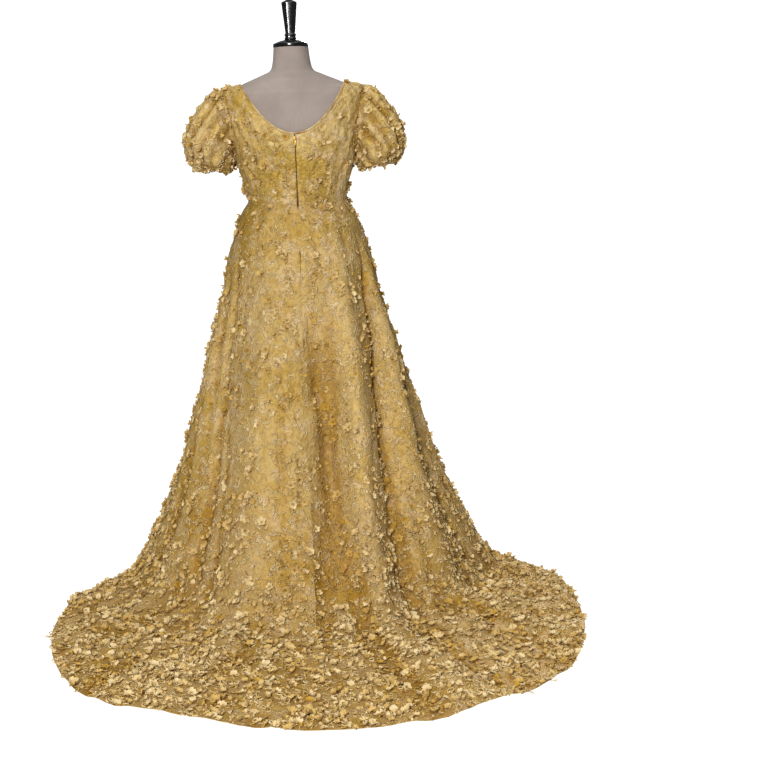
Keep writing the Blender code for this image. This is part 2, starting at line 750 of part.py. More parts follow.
# ---- skirt ----------------------------------------------------------------------------------------------
def hem_point(angle):
    """The hem's line on the floor."""
    c, s = math.cos(math.radians(angle)), math.sin(math.radians(angle))
    if s >= 0:
        reach = table_value(HEM_REACH, angle, 1)
    else:
        reach = 1 / math.sqrt((c / HEM_REACH[0][1]) ** 2 + (s / FRONT_REACH) ** 2)
    return Vector((reach * c, reach * s, 0))


def touch_point(angle):
    """Where the skirt comes down to the floor."""
    c, s = math.cos(math.radians(angle)), math.sin(math.radians(angle))
    depth = TOUCH_BACK if s > 0 else FRONT_REACH
    reach = 1 / math.sqrt((c / SIDE_REACH) ** 2 + (s / depth) ** 2)
    return Vector((reach * c, reach * s, 0))


def skirt_line(angle, share):
    """The skirt without its folds, from the waist (0) down to the floor and along it to the hem (1)."""
    top = body_point(angle, waist_seam(angle) - SEAM_GAP / 2)
    touch, hem = touch_point(angle), hem_point(angle)
    slope, floor = (touch - top).length, (hem - touch).length
    bend = min(mix(BEND_LEFT, BEND_RIGHT, smooth(angle / 180)), 0.9 * floor)
    at = share * (slope + floor)
    if at < slope - bend:
        return flared(top, touch, at / slope)
    if at > slope + bend or floor < 1e-6:
        return touch.lerp(hem, min(1.0, (at - slope) / max(floor, 1e-6)))
    t = (at - slope + bend) / (2 * bend)
    start, end = flared(top, touch, 1 - bend / slope), touch.lerp(hem, bend / floor)
    return start * (1 - t) ** 2 + touch * 2 * t * (1 - t) + end * t * t


def flared(top, touch, down):
    """A point of the skirt's hanging part."""
    out = table_value(FLARE, down, 1)
    return Vector((mix(top.x, touch.x, out), mix(top.y, touch.y, out), mix(top.z, touch.z, down)))


def line_angle(at_floor, share):
    """The angle round the body, a share of the way down, of the line of cloth that ends at a floor angle."""
    if at_floor <= 0 or at_floor >= 180:
        return at_floor
    from_side = min(at_floor, 180 - at_floor)
    there = mix(table_value(FOLD_PATHS, from_side, 1), from_side, smooth(share / 0.72))
    return there if at_floor <= 90 else 180 - there


def fold_height(at_floor, share):
    """How far the folds lift the cloth there."""
    if at_floor < 0:
        wave = 0.5 + 0.5 * math.cos(math.radians((at_floor - 270) * 2 * FRONT_FOLD_COUNT))
        beside = smooth(3 * math.sin(math.radians(at_floor)) ** 2)
        return FRONT_FOLD_HEIGHT * wave * beside * smooth((share - 0.02) / 0.5)
    lift = 0.0
    upper = max(0.0, 1 - share / FOLD_LEAN_END) ** 1.3
    for ridge, lean, half_width, height, start in BACK_FOLDS:
        away = (at_floor - ridge - lean * upper) / half_width
        lift += height * math.exp(-2.2 * away * away) * smooth((share - start) / 0.35)
    return lift * smooth(min(at_floor, 180 - at_floor) / 7)


def skirt_grid(start, end, columns, rows):
    """Inner and outer points of the skirt between two angles. The end columns lie on seams."""
    plain = [[None] * (columns + 1) for _ in range(rows + 1)]
    folded = [[None] * (columns + 1) for _ in range(rows + 1)]
    for i in range(rows + 1):
        share = i / rows
        for j in range(columns + 1):
            angle = line_angle(mix(start, end, j / columns), share)
            plain[i][j] = skirt_line(angle, share)
    for i in range(rows + 1):
        share = i / rows
        for j in range(columns + 1):
            normal = -outward(plain, i, j)
            lift = fold_height(mix(start, end, j / columns), share)
            flat = smooth(normal.z)
            lift = mix(lift, max(0.0, lift) * 0.45, flat)
            if i == 0:
                lift = 0.0
            point = plain[i][j] + normal * lift
            point.z = max(0.0, point.z)
            folded[i][j] = point
    inner, outer = [], []
    for i in range(rows + 1):
        inner_row, outer_row = [], []
        for j in range(columns + 1):
            point, normal = folded[i][j].copy(), -outward(folded, i, j)
            if i == 0:
                normal.z = 0.0
            if j in (0, columns):
                angle = mix(start, end, j / columns)
                if abs(angle - 90) < 1e-6:
                    normal.x = 0.0
                    point.x = SEAM_GAP if start < 45 else -SEAM_GAP
                else:
                    normal.y = 0.0
                    point.y = SEAM_GAP / 2 if start < 100 and end > -1 else -SEAM_GAP / 2
            normal.normalize()
            inner_row.append(point)
            outer_row.append(point + normal * CLOTH)
        inner.append(inner_row)
        outer.append(outer_row)
    return inner, outer


def make_skirt(chance):
    """The front, and the two backs that make the train. Returns each row's points at the back's middle."""
    grids = {}

    def likely(share):
        return SKIRT_BLOSSOMS[0] + SKIRT_BLOSSOMS[1] * share

    for name, start, end, columns, rows in (
        ("skirt_back_left", 0.0, 90.0, 24, 19),
        ("skirt_back_right", 90.0, 180.0, 24, 19),
        ("skirt_front", -180.0, 0.0, 24, 11),
    ):
        inner, outer = skirt_grid(start, end, columns, rows)
        if name == "skirt_front":
            for grid in (inner, outer):
                for row in grid:
                    for edge_column in (0, -1):
                        row[edge_column].y = -SEAM_GAP / 2
        wall(name, [(inner, outer, pick_blossoms(inner, likely, chance))], GOLD_SATIN)
        grids[name] = inner
    left, right = grids["skirt_back_left"], grids["skirt_back_right"]
    return [(a[-1], a[-2], b[1]) for a, b in zip(left, right)]


# ---- zip ------------------------------------------------------------------------------------------------
def make_zip_tape(bodice, waistband, skirt_rows):
    """The tape behind the opening, from the neckline to the zip's foot, along the cloth's inside."""
    rows = [(row[0], row[1], mirrored([row])[0][1]) for row in reversed(bodice[: NECK_ROW + 1])]
    rows += [(row[-1], row[-2], row[1]) for row in reversed(waistband)]
    rows += [row for row in skirt_rows if row[0].z > ZIP_END]
    lines = []
    for middle, left, right in rows:
        middle = Vector((0, middle.y, middle.z))
        line = []
        for beside, share in ((right, 1.0), (right, 0.0), (left, 1.0)):
            reach = TAPE_HALF_WIDTH / abs(beside.x) * share
            line.append(middle.lerp(beside, reach))
        lines.append(line)
    apart = [lines[0]]
    for line in lines[1:]:
        if (line[1] - apart[-1][1]).length > 0.004:
            apart.append(line)
    outer, inner = [], []
    for i, line in enumerate(apart):
        normals = [outward(apart, i, j) for j in range(3)]
        outer.append([p - n * TAPE_BEHIND for p, n in zip(line, normals)])
        inner.append([p - n * (TAPE_BEHIND + TAPE_THICK) for p, n in zip(line, normals)])
    wall("zip_tape", [(inner, outer, ())], ZIP_TAPE)


def blocks(name, xs, ys, zs, is_filled, origin, finish):
    """A body of the filled cells between those coordinates, which are measured from its origin."""
    made = bmesh.new()
    verts = {}

    def corner(i, j, k):
        if (i, j, k) not in verts:
            verts[i, j, k] = made.verts.new((xs[i], ys[j], zs[k]))
        return verts[i, j, k]

    sides = (
        ((-1, 0, 0), ((0, 0, 0), (0, 0, 1), (0, 1, 1), (0, 1, 0))),
        ((1, 0, 0), ((1, 0, 0), (1, 1, 0), (1, 1, 1), (1, 0, 1))),
        ((0, -1, 0), ((0, 0, 0), (1, 0, 0), (1, 0, 1), (0, 0, 1))),
        ((0, 1, 0), ((0, 1, 0), (0, 1, 1), (1, 1, 1), (1, 1, 0))),
        ((0, 0, -1), ((0, 0, 0), (0, 1, 0), (1, 1, 0), (1, 0, 0))),
        ((0, 0, 1), ((0, 0, 1), (1, 0, 1), (1, 1, 1), (0, 1, 1))),
    )
    counts = (len(xs) - 1, len(ys) - 1, len(zs) - 1)
    cells = {
        (i, j, k)
        for i in range(counts[0])
        for j in range(counts[1])
        for k in range(counts[2])
        if is_filled(i, j, k)
    }
    for cell in cells:
        for step, corners in sides:
            if tuple(a + b for a, b in zip(cell, step)) not in cells:
                made.faces.new([corner(*(a + b for a, b in zip(cell, c))) for c in corners])
    finish_object(name, made, finish, 30.0, origin)


def make_zip_slider():
    """The slider with its bail, and the pull whose top bar passes under the bail and turns about X there."""
    height = SHOULDER_NECK[1] - BACK_NECK_DROP - 0.012
    face = max(body_point(90.0, height + d, CLOTH).y for d in (-0.006, 0.0, 0.006)) + SEAM_GAP
    plate, gap, bail = 0.0024, 0.0020, 0.0008
    blocks(
        "zip_slider",
        (-0.0033, -0.0008, 0.0008, 0.0033),
        (0.0, plate, plate + gap, plate + gap + bail),
        (-0.0055, -0.0043, -0.0035, 0.0035, 0.0043, 0.0055),
        lambda i, j, k: j == 0 or (i == 1 and (k in (1, 3) if j == 1 else 0 < k < 4)),
        (0.0, face, height),
        ZIP_METAL,
    )
    blocks(
        "zip_pull",
        (-0.0024, -0.00125, 0.00125, 0.0024),
        (-0.00045, 0.00045),
        (-0.020, -0.0046, -0.00045, 0.00045),
        lambda i, j, k: (i, k) != (1, 1),
        (0.0, face + plate + gap / 2, height),
        ZIP_METAL,
    )


# ---- dress form -----------------------------------------------------------------------------------------
def turned(name, profile, finish, sides=32, sharp_degrees=35.0, lean=0.0):
    """A solid turned about Z from (radius, height) pairs, closed at both ends."""
    made = bmesh.new()
    rings = []
    for radius, height in profile:
        ring = []
        for k in range(sides):
            angle = math.tau * (k + 0.5) / sides
            ring.append(made.verts.new((radius * math.cos(angle), radius * math.sin(angle) + lean, height)))
        rings.append(ring)
    for low, high in zip(rings, rings[1:]):
        for k in range(sides):
            n = (k + 1) % sides
            made.faces.new((low[k], low[n], high[n], high[k]))
    made.faces.new(list(reversed(rings[0])))
    made.faces.new(rings[-1])
    return finish_object(name, made, finish, sharp_degrees)


def make_form():
    """The linen-covered torso, its black neck cap and finial, and the stand under it."""
    made = bmesh.new()
    columns = 32
    heights = sorted([row[0] for row in FORM_SECTIONS] + [1.040, 1.084])
    rings = []
    for height in heights:
        rings.append([made.verts.new(form_point(360.0 * k / columns, height)) for k in range(columns)])
    for low, high in zip(rings, rings[1:]):
        for k in range(columns):
            n = (k + 1) % columns
            made.faces.new((low[k], low[n], high[n], high[k]))
    made.faces.new(list(reversed(rings[0])))
    made.faces.new(rings[-1])
    finish_object("form_torso", made, LINEN)
    lean = FORM_SECTIONS[-1][4]
    seat = NECK_TOP + SEAM_GAP
    foot = seat + NECK_CAP[-1][1] + SEAM_GAP
    turned("form_neck_cap", raised(NECK_CAP, seat), BLACK_LACQUER, 32, lean=lean)
    turned("form_finial", raised(FINIAL, foot), BLACK_LACQUER, 8, sharp_degrees=20.0, lean=lean)
    pole = ((POLE_RADIUS, BASE[-1][1] + SEAM_GAP), (POLE_RADIUS, FORM_BOTTOM - SEAM_GAP))
    turned("form_pole", pole, STEEL, 24)
    turned("form_base", BASE, STEEL, 40)


def raised(profile, height):
    """A profile lifted to where it stands."""
    return [(radius, height + level) for radius, level in profile]


def main():
    for old in list(bpy.data.objects):
        bpy.data.objects.remove(old)
    chance = random.Random(SEED)
    make_form()
    armhole, neck, bodice_back = make_bodice(chance)
    make_neck_binding(neck)
    waistband = make_waistband()
    for side in ("left", "right"):
        make_sleeve(side, armhole, chance)
    skirt_rows = make_skirt(chance)
    make_zip_tape(bodice_back, waistband, skirt_rows)
    make_zip_slider()


main()
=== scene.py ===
"""The looks of a regency-style gown of gold satin and lace, sewn all over with blossoms, on its dress form.

Metres, +Z up. The wearer would face -Y, the train trails towards +Y, and the wearer's left is +X. Angles run
round the body from +X (0) through +Y (90). The cloth's sizes are those of the solids that it stands for.
"""

import math

import bmesh
import bpy
import numpy as np
from mathutils import Matrix, Vector


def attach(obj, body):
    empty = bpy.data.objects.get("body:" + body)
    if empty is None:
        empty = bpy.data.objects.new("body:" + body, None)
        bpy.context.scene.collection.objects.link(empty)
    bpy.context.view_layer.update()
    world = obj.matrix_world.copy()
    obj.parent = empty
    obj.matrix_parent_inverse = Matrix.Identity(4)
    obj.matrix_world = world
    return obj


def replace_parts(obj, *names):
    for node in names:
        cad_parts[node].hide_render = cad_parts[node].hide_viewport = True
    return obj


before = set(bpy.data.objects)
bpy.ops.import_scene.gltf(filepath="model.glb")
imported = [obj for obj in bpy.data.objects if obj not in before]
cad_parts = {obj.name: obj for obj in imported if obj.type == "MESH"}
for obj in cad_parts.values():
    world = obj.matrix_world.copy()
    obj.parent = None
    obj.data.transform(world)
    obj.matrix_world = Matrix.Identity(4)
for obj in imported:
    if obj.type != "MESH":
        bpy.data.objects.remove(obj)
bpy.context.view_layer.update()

# ---- the gown's sizes -----------------------------------------------------------------------------------
CLOTH = 0.002  # from the inside of a wall of cloth to its outside
SHELL = 0.0016  # the thickness that the satin and its lace are shown with
SEAM_GAP = 0.0003
FLOOR_GAP = 0.0004
THREAD_STAND = 0.0003  # how far stitches lie off the cloth
HEM_STITCH_ROW = 2
TOUCHING = 1e-6  # points that are nearer than this are one
BODY_EASE = 0.0032  # how far the bodice's inside stands off the form
SHOULDER_EASE = 0.0009  # the same where it hangs on the shoulders, inside these three
SHOULDER_FROM = 1.355
SHOULDER_REACH = 0.174
SHOULDER_HALF_DEPTH = 0.030
ARMHOLE_EASE = 0.002  # added outside the first of these, above the second
ARMHOLE_EASE_FROM = (0.170, 1.336)
FRONT_EASE = 0.0015
TAPE_BEHIND = 0.0005
BINDING = 0.005
BINDING_THICK = 0.0026
FORM_BOTTOM = 0.8222
NECK_TOP = 1.4844
WAIST_SEAM_BACK = 1.052
WAIST_SEAM_SIDE = 1.062
WAIST_SEAM_FRONT = 1.090
BAND_HEIGHT = 0.028
SHOULDER_NECK = (0.1476, 1.3838)
SHOULDER_TIP = (0.1890, 1.3706)
UNDERARM = 1.174
BACK_NECK_DROP = 0.1385
FRONT_NECK_DROP = 0.153
NECKLINE_CURVE = 2.05
ARMHOLE_SCOOP = 24.0
DRAG_BOTTOM = 1.097  # the side's fine drag lines
DRAG_TOP = 1.336
DRAG_HEIGHT = 0.0012
PARTING_REACH = 0.02  # how far from the zip the cloth is drawn aside
PARTING_DIP = 0.0009  # how deep its edge sinks there
PARTING_DIP_WIDTH = 0.0024
CUP_X = 0.072
CUP_HEIGHT = 1.201
CUP_WIDTH = 0.045
CUP_DEPTH = 0.016
FRONT_GATHERS = 18
FRONT_GATHER_HEIGHT = 0.0016
FRONT_GATHER_REACH = 0.06
ZIP_END = 0.675
FRONT_REACH = 0.410
SIDE_REACH = 0.532
TOUCH_BACK = 0.585
BEND_LEFT = 0.095
BEND_RIGHT = 0.050
FRONT_FOLD_COUNT = 6
FRONT_FOLD_HEIGHT = 0.014
SLEEVE_GATHERS = 12
GATHER_HEIGHT = 0.0045
CUFF_BAND = 0.014
BODICE_ROWS = 14
BODICE_GRID_ROWS = 84
BACK_COLUMNS = 76
FRONT_COLUMNS = 105
NECK_ROW = 5
ARM_ROW = 4
NECK_ANGLES = (90.0, 77.0, 66.0, 56.0, 46.0, 36.0, 26.0, 17.0, 8.0, 0.0)

FORM_SECTIONS = (
    # height, half_width, back, front, lean, square
    (0.8223, 0.1641, 0.1107, 0.0989, 0.0000, 2.10),
    (0.8717, 0.1697, 0.1203, 0.1026, 0.0000, 2.10),
    (0.9505, 0.1553, 0.1101, 0.0983, 0.0000, 2.10),
    (1.0190, 0.1360, 0.0911, 0.0941, 0.0000, 2.10),
    (1.0629, 0.1332, 0.0861, 0.0959, 0.0000, 2.15),
    (1.1065, 0.1399, 0.0888, 0.1074, 0.0000, 2.20),
    (1.1452, 0.1516, 0.0936, 0.1189, 0.0000, 2.30),
    (1.1741, 0.1609, 0.0973, 0.1265, 0.0000, 2.35),
    (1.2125, 0.1691, 0.1011, 0.1302, 0.0000, 2.45),
    (1.2604, 0.1794, 0.1028, 0.1222, 0.0000, 2.50),
    (1.3080, 0.1872, 0.0987, 0.1045, 0.0000, 2.45),
    (1.3365, 0.1904, 0.0918, 0.0889, 0.0000, 2.35),
    (1.3554, 0.1917, 0.0840, 0.0772, 0.0000, 2.20),
    (1.3649, 0.1909, 0.0782, 0.0705, 0.0000, 2.10),
    (1.3706, 0.1882, 0.0743, 0.0666, 0.0000, 2.05),
    (1.3762, 0.1736, 0.0704, 0.0627, 0.0000, 2.00),
    (1.3837, 0.1466, 0.0665, 0.0579, 0.0000, 2.00),
    (1.3913, 0.1282, 0.0627, 0.0540, 0.0000, 2.00),
    (1.3988, 0.1099, 0.0588, 0.0520, -0.0010, 2.00),
    (1.4102, 0.0828, 0.0559, 0.0501, -0.0029, 2.00),
    (1.4196, 0.0626, 0.0539, 0.0491, -0.0058, 2.00),
    (1.4309, 0.0558, 0.0529, 0.0481, -0.0087, 2.00),
    (1.4544, 0.0514, 0.0509, 0.0461, -0.0135, 2.00),
    (1.4844, 0.0485, 0.0490, 0.0451, -0.0192, 2.00),
)
HEM_REACH = (
    # angle, reach
    (0.0, 0.535),
    (10.0, 0.612),
    (20.0, 0.700),
    (30.0, 0.782),
    (40.0, 0.874),
    (50.0, 0.975),
    (60.0, 1.073),
    (70.0, 1.136),
    (80.0, 1.173),
    (90.0, 1.198),
    (100.0, 1.207),
    (110.0, 1.179),
    (120.0, 1.114),
    (130.0, 1.006),
    (140.0, 0.893),
    (150.0, 0.803),
    (160.0, 0.722),
    (170.0, 0.616),
    (180.0, 0.535),
)
FLARE = (
    # down, out
    (0.000, 0.000),
    (0.035, 0.060),
    (0.067, 0.094),
    (0.098, 0.120),
    (0.162, 0.176),
    (0.226, 0.206),
    (0.290, 0.251),
    (0.355, 0.306),
    (0.420, 0.351),
    (0.485, 0.394),
    (0.551, 0.462),
    (0.617, 0.514),
    (0.683, 0.570),
    (0.750, 0.642),
    (0.816, 0.718),
    (0.882, 0.806),
    (0.929, 0.865),
    (0.965, 0.925),
    (1.000, 1.000),
)
FOLD_PATHS = (
    # at_floor, at_waist
    (0.0, 0.0),
    (17.0, 6.0),
    (29.0, 13.0),
    (40.0, 21.0),
    (50.0, 29.0),
    (57.0, 35.5),
    (62.0, 42.0),
    (67.5, 50.5),
    (72.0, 59.0),
    (78.0, 71.0),
    (90.0, 90.0),
)
FOLD_LEAN_END = 0.60
FOLD_PATH_END = 0.72
FOLD_SHARPNESS = 2.2
FOLD_RISE = 0.35
FRONT_FOLD_RISE = 0.5
BACK_FOLDS = (
    # at_floor, lean, half_width, height, start
    (22.0, -4.0, 8.0, 0.014, 0.10),
    (38.0, -4.0, 6.5, 0.024, 0.05),
    (50.5, 4.0, 4.5, -0.034, 0.05),
    (72.0, 12.0, 15.0, 0.038, 0.02),
    (97.5, -2.0, 7.5, -0.062, 0.12),
    (106.5, 2.0, 7.0, 0.044, 0.00),
    (117.0, 14.0, 6.0, -0.053, 0.03),
    (134.0, 2.0, 9.0, 0.036, 0.03),
    (153.0, 4.0, 6.5, -0.046, 0.12),
    (167.0, 0.0, 5.0, 0.012, 0.20),
)
SLEEVE_RINGS = (
    # top_x, top_z, low_x, low_z, half_depth
    (0.216, 1.374, 0.170, 1.170, 0.072),
    (0.240, 1.352, 0.174, 1.163, 0.086),
    (0.267, 1.318, 0.178, 1.157, 0.095),
    (0.291, 1.280, 0.182, 1.152, 0.098),
    (0.304, 1.239, 0.186, 1.148, 0.094),
    (0.301, 1.200, 0.190, 1.145, 0.083),
    (0.290, 1.170, 0.193, 1.144, 0.067),
    (0.281, 1.156, 0.196, 1.150, 0.051),
)
# Turned profiles of the form's fittings, from the foot of each up.
NECK_CAP = (
    # radius, height
    (0.0490, 0.0000),
    (0.0497, 0.0030),
    (0.0495, 0.0090),
    (0.0475, 0.0105),
    (0.0300, 0.0170),
    (0.0190, 0.0193),
    (0.0165, 0.0208),
)

# ---- what only shows from close by ----------------------------------------------------------------------
# Drag lines and small creases of the bodice's back: x and height where each starts and ends, then how wide to
# each side and how deep it is.
BODICE_CREASES = (
    # x, z, to_x, to_z, width, depth
    (-0.124, 1.322, -0.076, 1.226, 0.0070, 0.0061),
    (-0.148, 1.310, -0.112, 1.196, 0.0075, 0.0072),
    (-0.108, 1.310, -0.056, 1.216, 0.0060, 0.0049),
    (-0.146, 1.230, -0.096, 1.118, 0.0070, 0.0067),
    (-0.126, 1.222, -0.070, 1.112, 0.0060, 0.0052),
    (-0.104, 1.252, -0.048, 1.148, 0.0065, 0.0055),
    (-0.080, 1.236, -0.030, 1.146, 0.0055, 0.0041),
    (-0.136, 1.268, -0.098, 1.176, 0.0050, -0.0043),
    (-0.092, 1.282, -0.058, 1.222, 0.0045, -0.0032),
    (-0.090, 1.160, -0.020, 1.118, 0.0055, 0.0032),
    (-0.140, 1.176, -0.112, 1.108, 0.0055, 0.0052),
    (0.150, 1.300, 0.116, 1.206, 0.0075, 0.0048),
    (0.128, 1.268, 0.082, 1.176, 0.0070, 0.0038),
    (0.102, 1.204, 0.036, 1.128, 0.0065, 0.0036),
    (0.138, 1.196, 0.096, 1.116, 0.0065, 0.0043),
    (0.070, 1.238, 0.030, 1.176, 0.0055, 0.0026),
    (0.116, 1.240, 0.090, 1.150, 0.0050, -0.0026),
    (0.084, 1.166, 0.014, 1.150, 0.0045, 0.0026),
    (0.100, 1.136, 0.030, 1.120, 0.0045, 0.0029),
    (0.064, 1.150, 0.016, 1.112, 0.0050, 0.0022),
)
# The same on the front: from the shoulders over the cups, and between them.
FRONT_CREASES = (
    # x, z, to_x, to_z, width, depth
    (-0.150, 1.300, -0.116, 1.236, 0.0080, 0.0028),
    (-0.128, 1.272, -0.088, 1.232, 0.0070, 0.0020),
    (0.152, 1.304, 0.112, 1.232, 0.0080, 0.0026),
    (0.130, 1.262, 0.094, 1.226, 0.0070, 0.0022),
    (-0.030, 1.226, 0.026, 1.214, 0.0060, 0.0018),
    (-0.022, 1.192, 0.030, 1.184, 0.0055, 0.0014),
    (-0.142, 1.190, -0.118, 1.136, 0.0060, 0.0022),
    (0.140, 1.192, 0.120, 1.130, 0.0060, 0.0022),
    (-0.060, 1.158, -0.052, 1.122, 0.0045, 0.0018),
    (-0.084, 1.162, -0.078, 1.122, 0.0045, 0.0014),
    (-0.034, 1.156, -0.030, 1.122, 0.0040, 0.0016),
    (0.058, 1.160, 0.050, 1.122, 0.0045, 0.0020),
    (0.082, 1.160, 0.076, 1.122, 0.0045, 0.0013),
    (0.036, 1.154, 0.032, 1.122, 0.0040, 0.0016),
)
# Small creases of the skirt's back, laid as above.
SKIRT_CREASES = (
    # x, z, to_x, to_z, width, depth
    (0.000, 1.044, 0.000, 0.600, 0.0032, 0.0014),
    (-0.004, 0.730, -0.050, 0.430, 0.0140, 0.0060),
    (-0.044, 0.480, -0.062, 0.120, 0.0160, 0.0080),
    (-0.178, 0.860, -0.183, 0.560, 0.0100, 0.0050),
    (-0.183, 0.600, -0.172, 0.270, 0.0110, 0.0060),
    (-0.172, 0.310, -0.195, 0.110, 0.0120, 0.0060),
    (0.020, 0.760, 0.012, 0.660, 0.0070, 0.0040),
    (0.012, 0.705, 0.018, 0.672, 0.0035, 0.0040),
    (-0.010, 0.780, -0.014, 0.690, 0.0060, 0.0024),
    (0.175, 0.610, 0.104, 0.664, 0.0070, 0.0036),
    (0.040, 0.640, 0.034, 0.540, 0.0090, 0.0034),
    (0.066, 1.030, 0.074, 0.900, 0.0080, 0.0024),
    (0.108, 1.035, 0.128, 0.880, 0.0090, 0.0030),
    (0.030, 1.020, 0.034, 0.940, 0.0060, 0.0016),
    (-0.040, 1.030, -0.046, 0.900, 0.0080, 0.0024),
    (-0.076, 1.035, -0.092, 0.870, 0.0080, 0.0030),
    (-0.112, 1.030, -0.138, 0.850, 0.0090, 0.0034),
    (-0.024, 0.980, -0.030, 0.860, 0.0060, 0.0018),
    (0.210, 0.560, 0.250, 0.380, 0.0110, 0.0040),
    (0.120, 0.500, 0.136, 0.330, 0.0120, 0.0040),
    (-0.070, 0.620, -0.078, 0.470, 0.0100, 0.0036),
    (-0.250, 0.540, -0.320, 0.320, 0.0120, 0.0050),
    (-0.170, 0.480, -0.215, 0.300, 0.0110, 0.0040),
    (0.300, 0.420, 0.370, 0.250, 0.0120, 0.0050),
)
# The same of the train, where it lies: x and y.
TRAIN_CREASES = (
    # x, y, to_x, to_y, width, depth
    (-0.018, 0.340, -0.028, 0.880, 0.0260, 0.0120),
    (-0.142, 0.300, -0.122, 0.880, 0.0240, 0.0110),
    (-0.226, 0.200, -0.292, 0.800, 0.0240, 0.0110),
    (-0.184, 0.420, -0.200, 0.860, 0.0220, -0.0070),
    (-0.330, 0.420, -0.370, 0.840, 0.0260, -0.0080),
    (-0.400, 0.380, -0.480, 0.760, 0.0260, 0.0090),
    (-0.072, 0.460, -0.076, 0.900, 0.0240, -0.0070),
    (0.570, 0.650, 0.420, 0.440, 0.0280, 0.0110),
    (0.630, 0.760, 0.470, 0.600, 0.0220, -0.0080),
    (0.430, 0.680, 0.240, 0.350, 0.0240, 0.0080),
    (0.300, 0.900, 0.190, 0.560, 0.0260, -0.0060),
    (0.250, 0.960, 0.150, 0.620, 0.0220, 0.0070),
    (0.120, 0.980, 0.090, 0.620, 0.0260, -0.0060),
    (-0.560, 0.780, -0.470, 0.460, 0.0240, -0.0060),
)
# Where the edges of the centre back stand apart: height and half the gap.
ZIP_PARTING = (
    # height, half_gap
    (0.000, 0.00005),
    (0.660, 0.00005),
    (0.690, 0.0014),
    (0.715, 0.00005),
    (0.866, 0.00005),
    (0.884, 0.0010),
    (0.902, 0.0003),
    (0.908, 0.0003),
    (0.920, 0.0024),
    (0.934, 0.00005),
    (1.040, 0.0001),
    (1.056, 0.0028),
    (1.078, 0.0024),
    (1.120, 0.0015),
    (1.235, 0.0014),
)


# Seeds of the sewing, of its thicker clumps and of the skirt's small and large unevenness.
SEWING_SEED, CLUMP_SEED, CRUMPLE_SEED, BILLOW_SEED = 29, 5, 7, 11


# ---- numbers --------------------------------------------------------------------------------------------
def smooth(x):
    """0 to 1 with flat ends."""
    x = np.clip(x, 0.0, 1.0)
    return x * x * (3 - 2 * x)


def mix(a, b, share):
    return a + (b - a) * share


def sine(degrees):
    return np.sin(np.radians(degrees))


def cosine(degrees):
    return np.cos(np.radians(degrees))


def unit(vectors):
    """Each vector at length 1."""
    return vectors / np.maximum(np.linalg.norm(vectors, axis=-1, keepdims=True), 1e-12)


def stacked(*parts):
    """Points from their x, y and z."""
    return np.stack(np.broadcast_arrays(*parts), -1)


class Curve:
    """A smooth line through rows of values, which doesn't overshoot them. The values may be arrays."""

    def __init__(self, keys, values):
        self.keys, self.values = np.asarray(keys, float), np.asarray(values, float)
        spans = np.diff(self.keys).reshape(-1, *[1] * (self.values.ndim - 1))
        rise = np.diff(self.values, axis=0) / spans
        both, total = rise[1:] * rise[:-1], rise[1:] + rise[:-1]
        turning = np.where(both > 0, 2 * both / np.where(both > 0, total, 1.0), 0.0)
        self.slopes = np.concatenate((rise[:1], turning, rise[-1:]))

    def __call__(self, at):
        at = np.clip(at, self.keys[0], self.keys[-1])
        i = np.clip(np.searchsorted(self.keys, at, side="right") - 1, 0, len(self.keys) - 2)
        span = self.keys[i + 1] - self.keys[i]
        share = (at - self.keys[i]) / span
        shape = (*np.shape(at), *[1] * (self.values.ndim - 1))
        span, share = np.reshape(span, shape), np.reshape(share, shape)
        s2, s3 = share**2, share**3
        low = (2 * s3 - 3 * s2 + 1) * self.values[i] + (s3 - 2 * s2 + share) * span * self.slopes[i]
        return low + (3 * s2 - 2 * s3) * self.values[i + 1] + (s3 - s2) * span * self.slopes[i + 1]


def columns_of(table):
    """A Curve for each of a table's columns, over its first."""
    rows = np.array(table)
    return [Curve(rows[:, 0], rows[:, k]) for k in range(1, rows.shape[1])]


FORM_CURVES = columns_of(FORM_SECTIONS)
HEM_CURVE = columns_of(HEM_REACH)[0]
FLARE_CURVE = columns_of(FLARE)[0]
PATH_CURVE = columns_of(FOLD_PATHS)[0]
PARTING_CURVE = columns_of(ZIP_PARTING)[0]


# ---- the body -------------------------------------------------------------------------------------------
def form_point(angle, height):
    """Points of the form's surface."""
    half_width, back, front, lean, square = (column(height) for column in FORM_CURVES)
    c, s = cosine(angle), sine(angle)
    x = np.sign(c) * np.abs(c) ** (2 / square) * half_width
    y = np.sign(s) * np.abs(s) ** (2 / square) * np.where(s > 0, back, front)
    return stacked(x, y + lean, height)


def form_normal(angle, height):
    """The outward direction there."""
    across = form_point(angle + 0.5, height) - form_point(angle - 0.5, height)
    low, high = np.maximum(FORM_BOTTOM, height - 0.002), np.minimum(NECK_TOP, height + 0.002)
    return unit(np.cross(across, form_point(angle, high) - form_point(angle, low)))


def waist_seam(angle):
    """Height of the seam between waistband and skirt, which rises to the front."""
    s = sine(angle)
    return mix(WAIST_SEAM_SIDE, np.where(s > 0, WAIST_SEAM_BACK, WAIST_SEAM_FRONT), smooth(np.abs(s)))


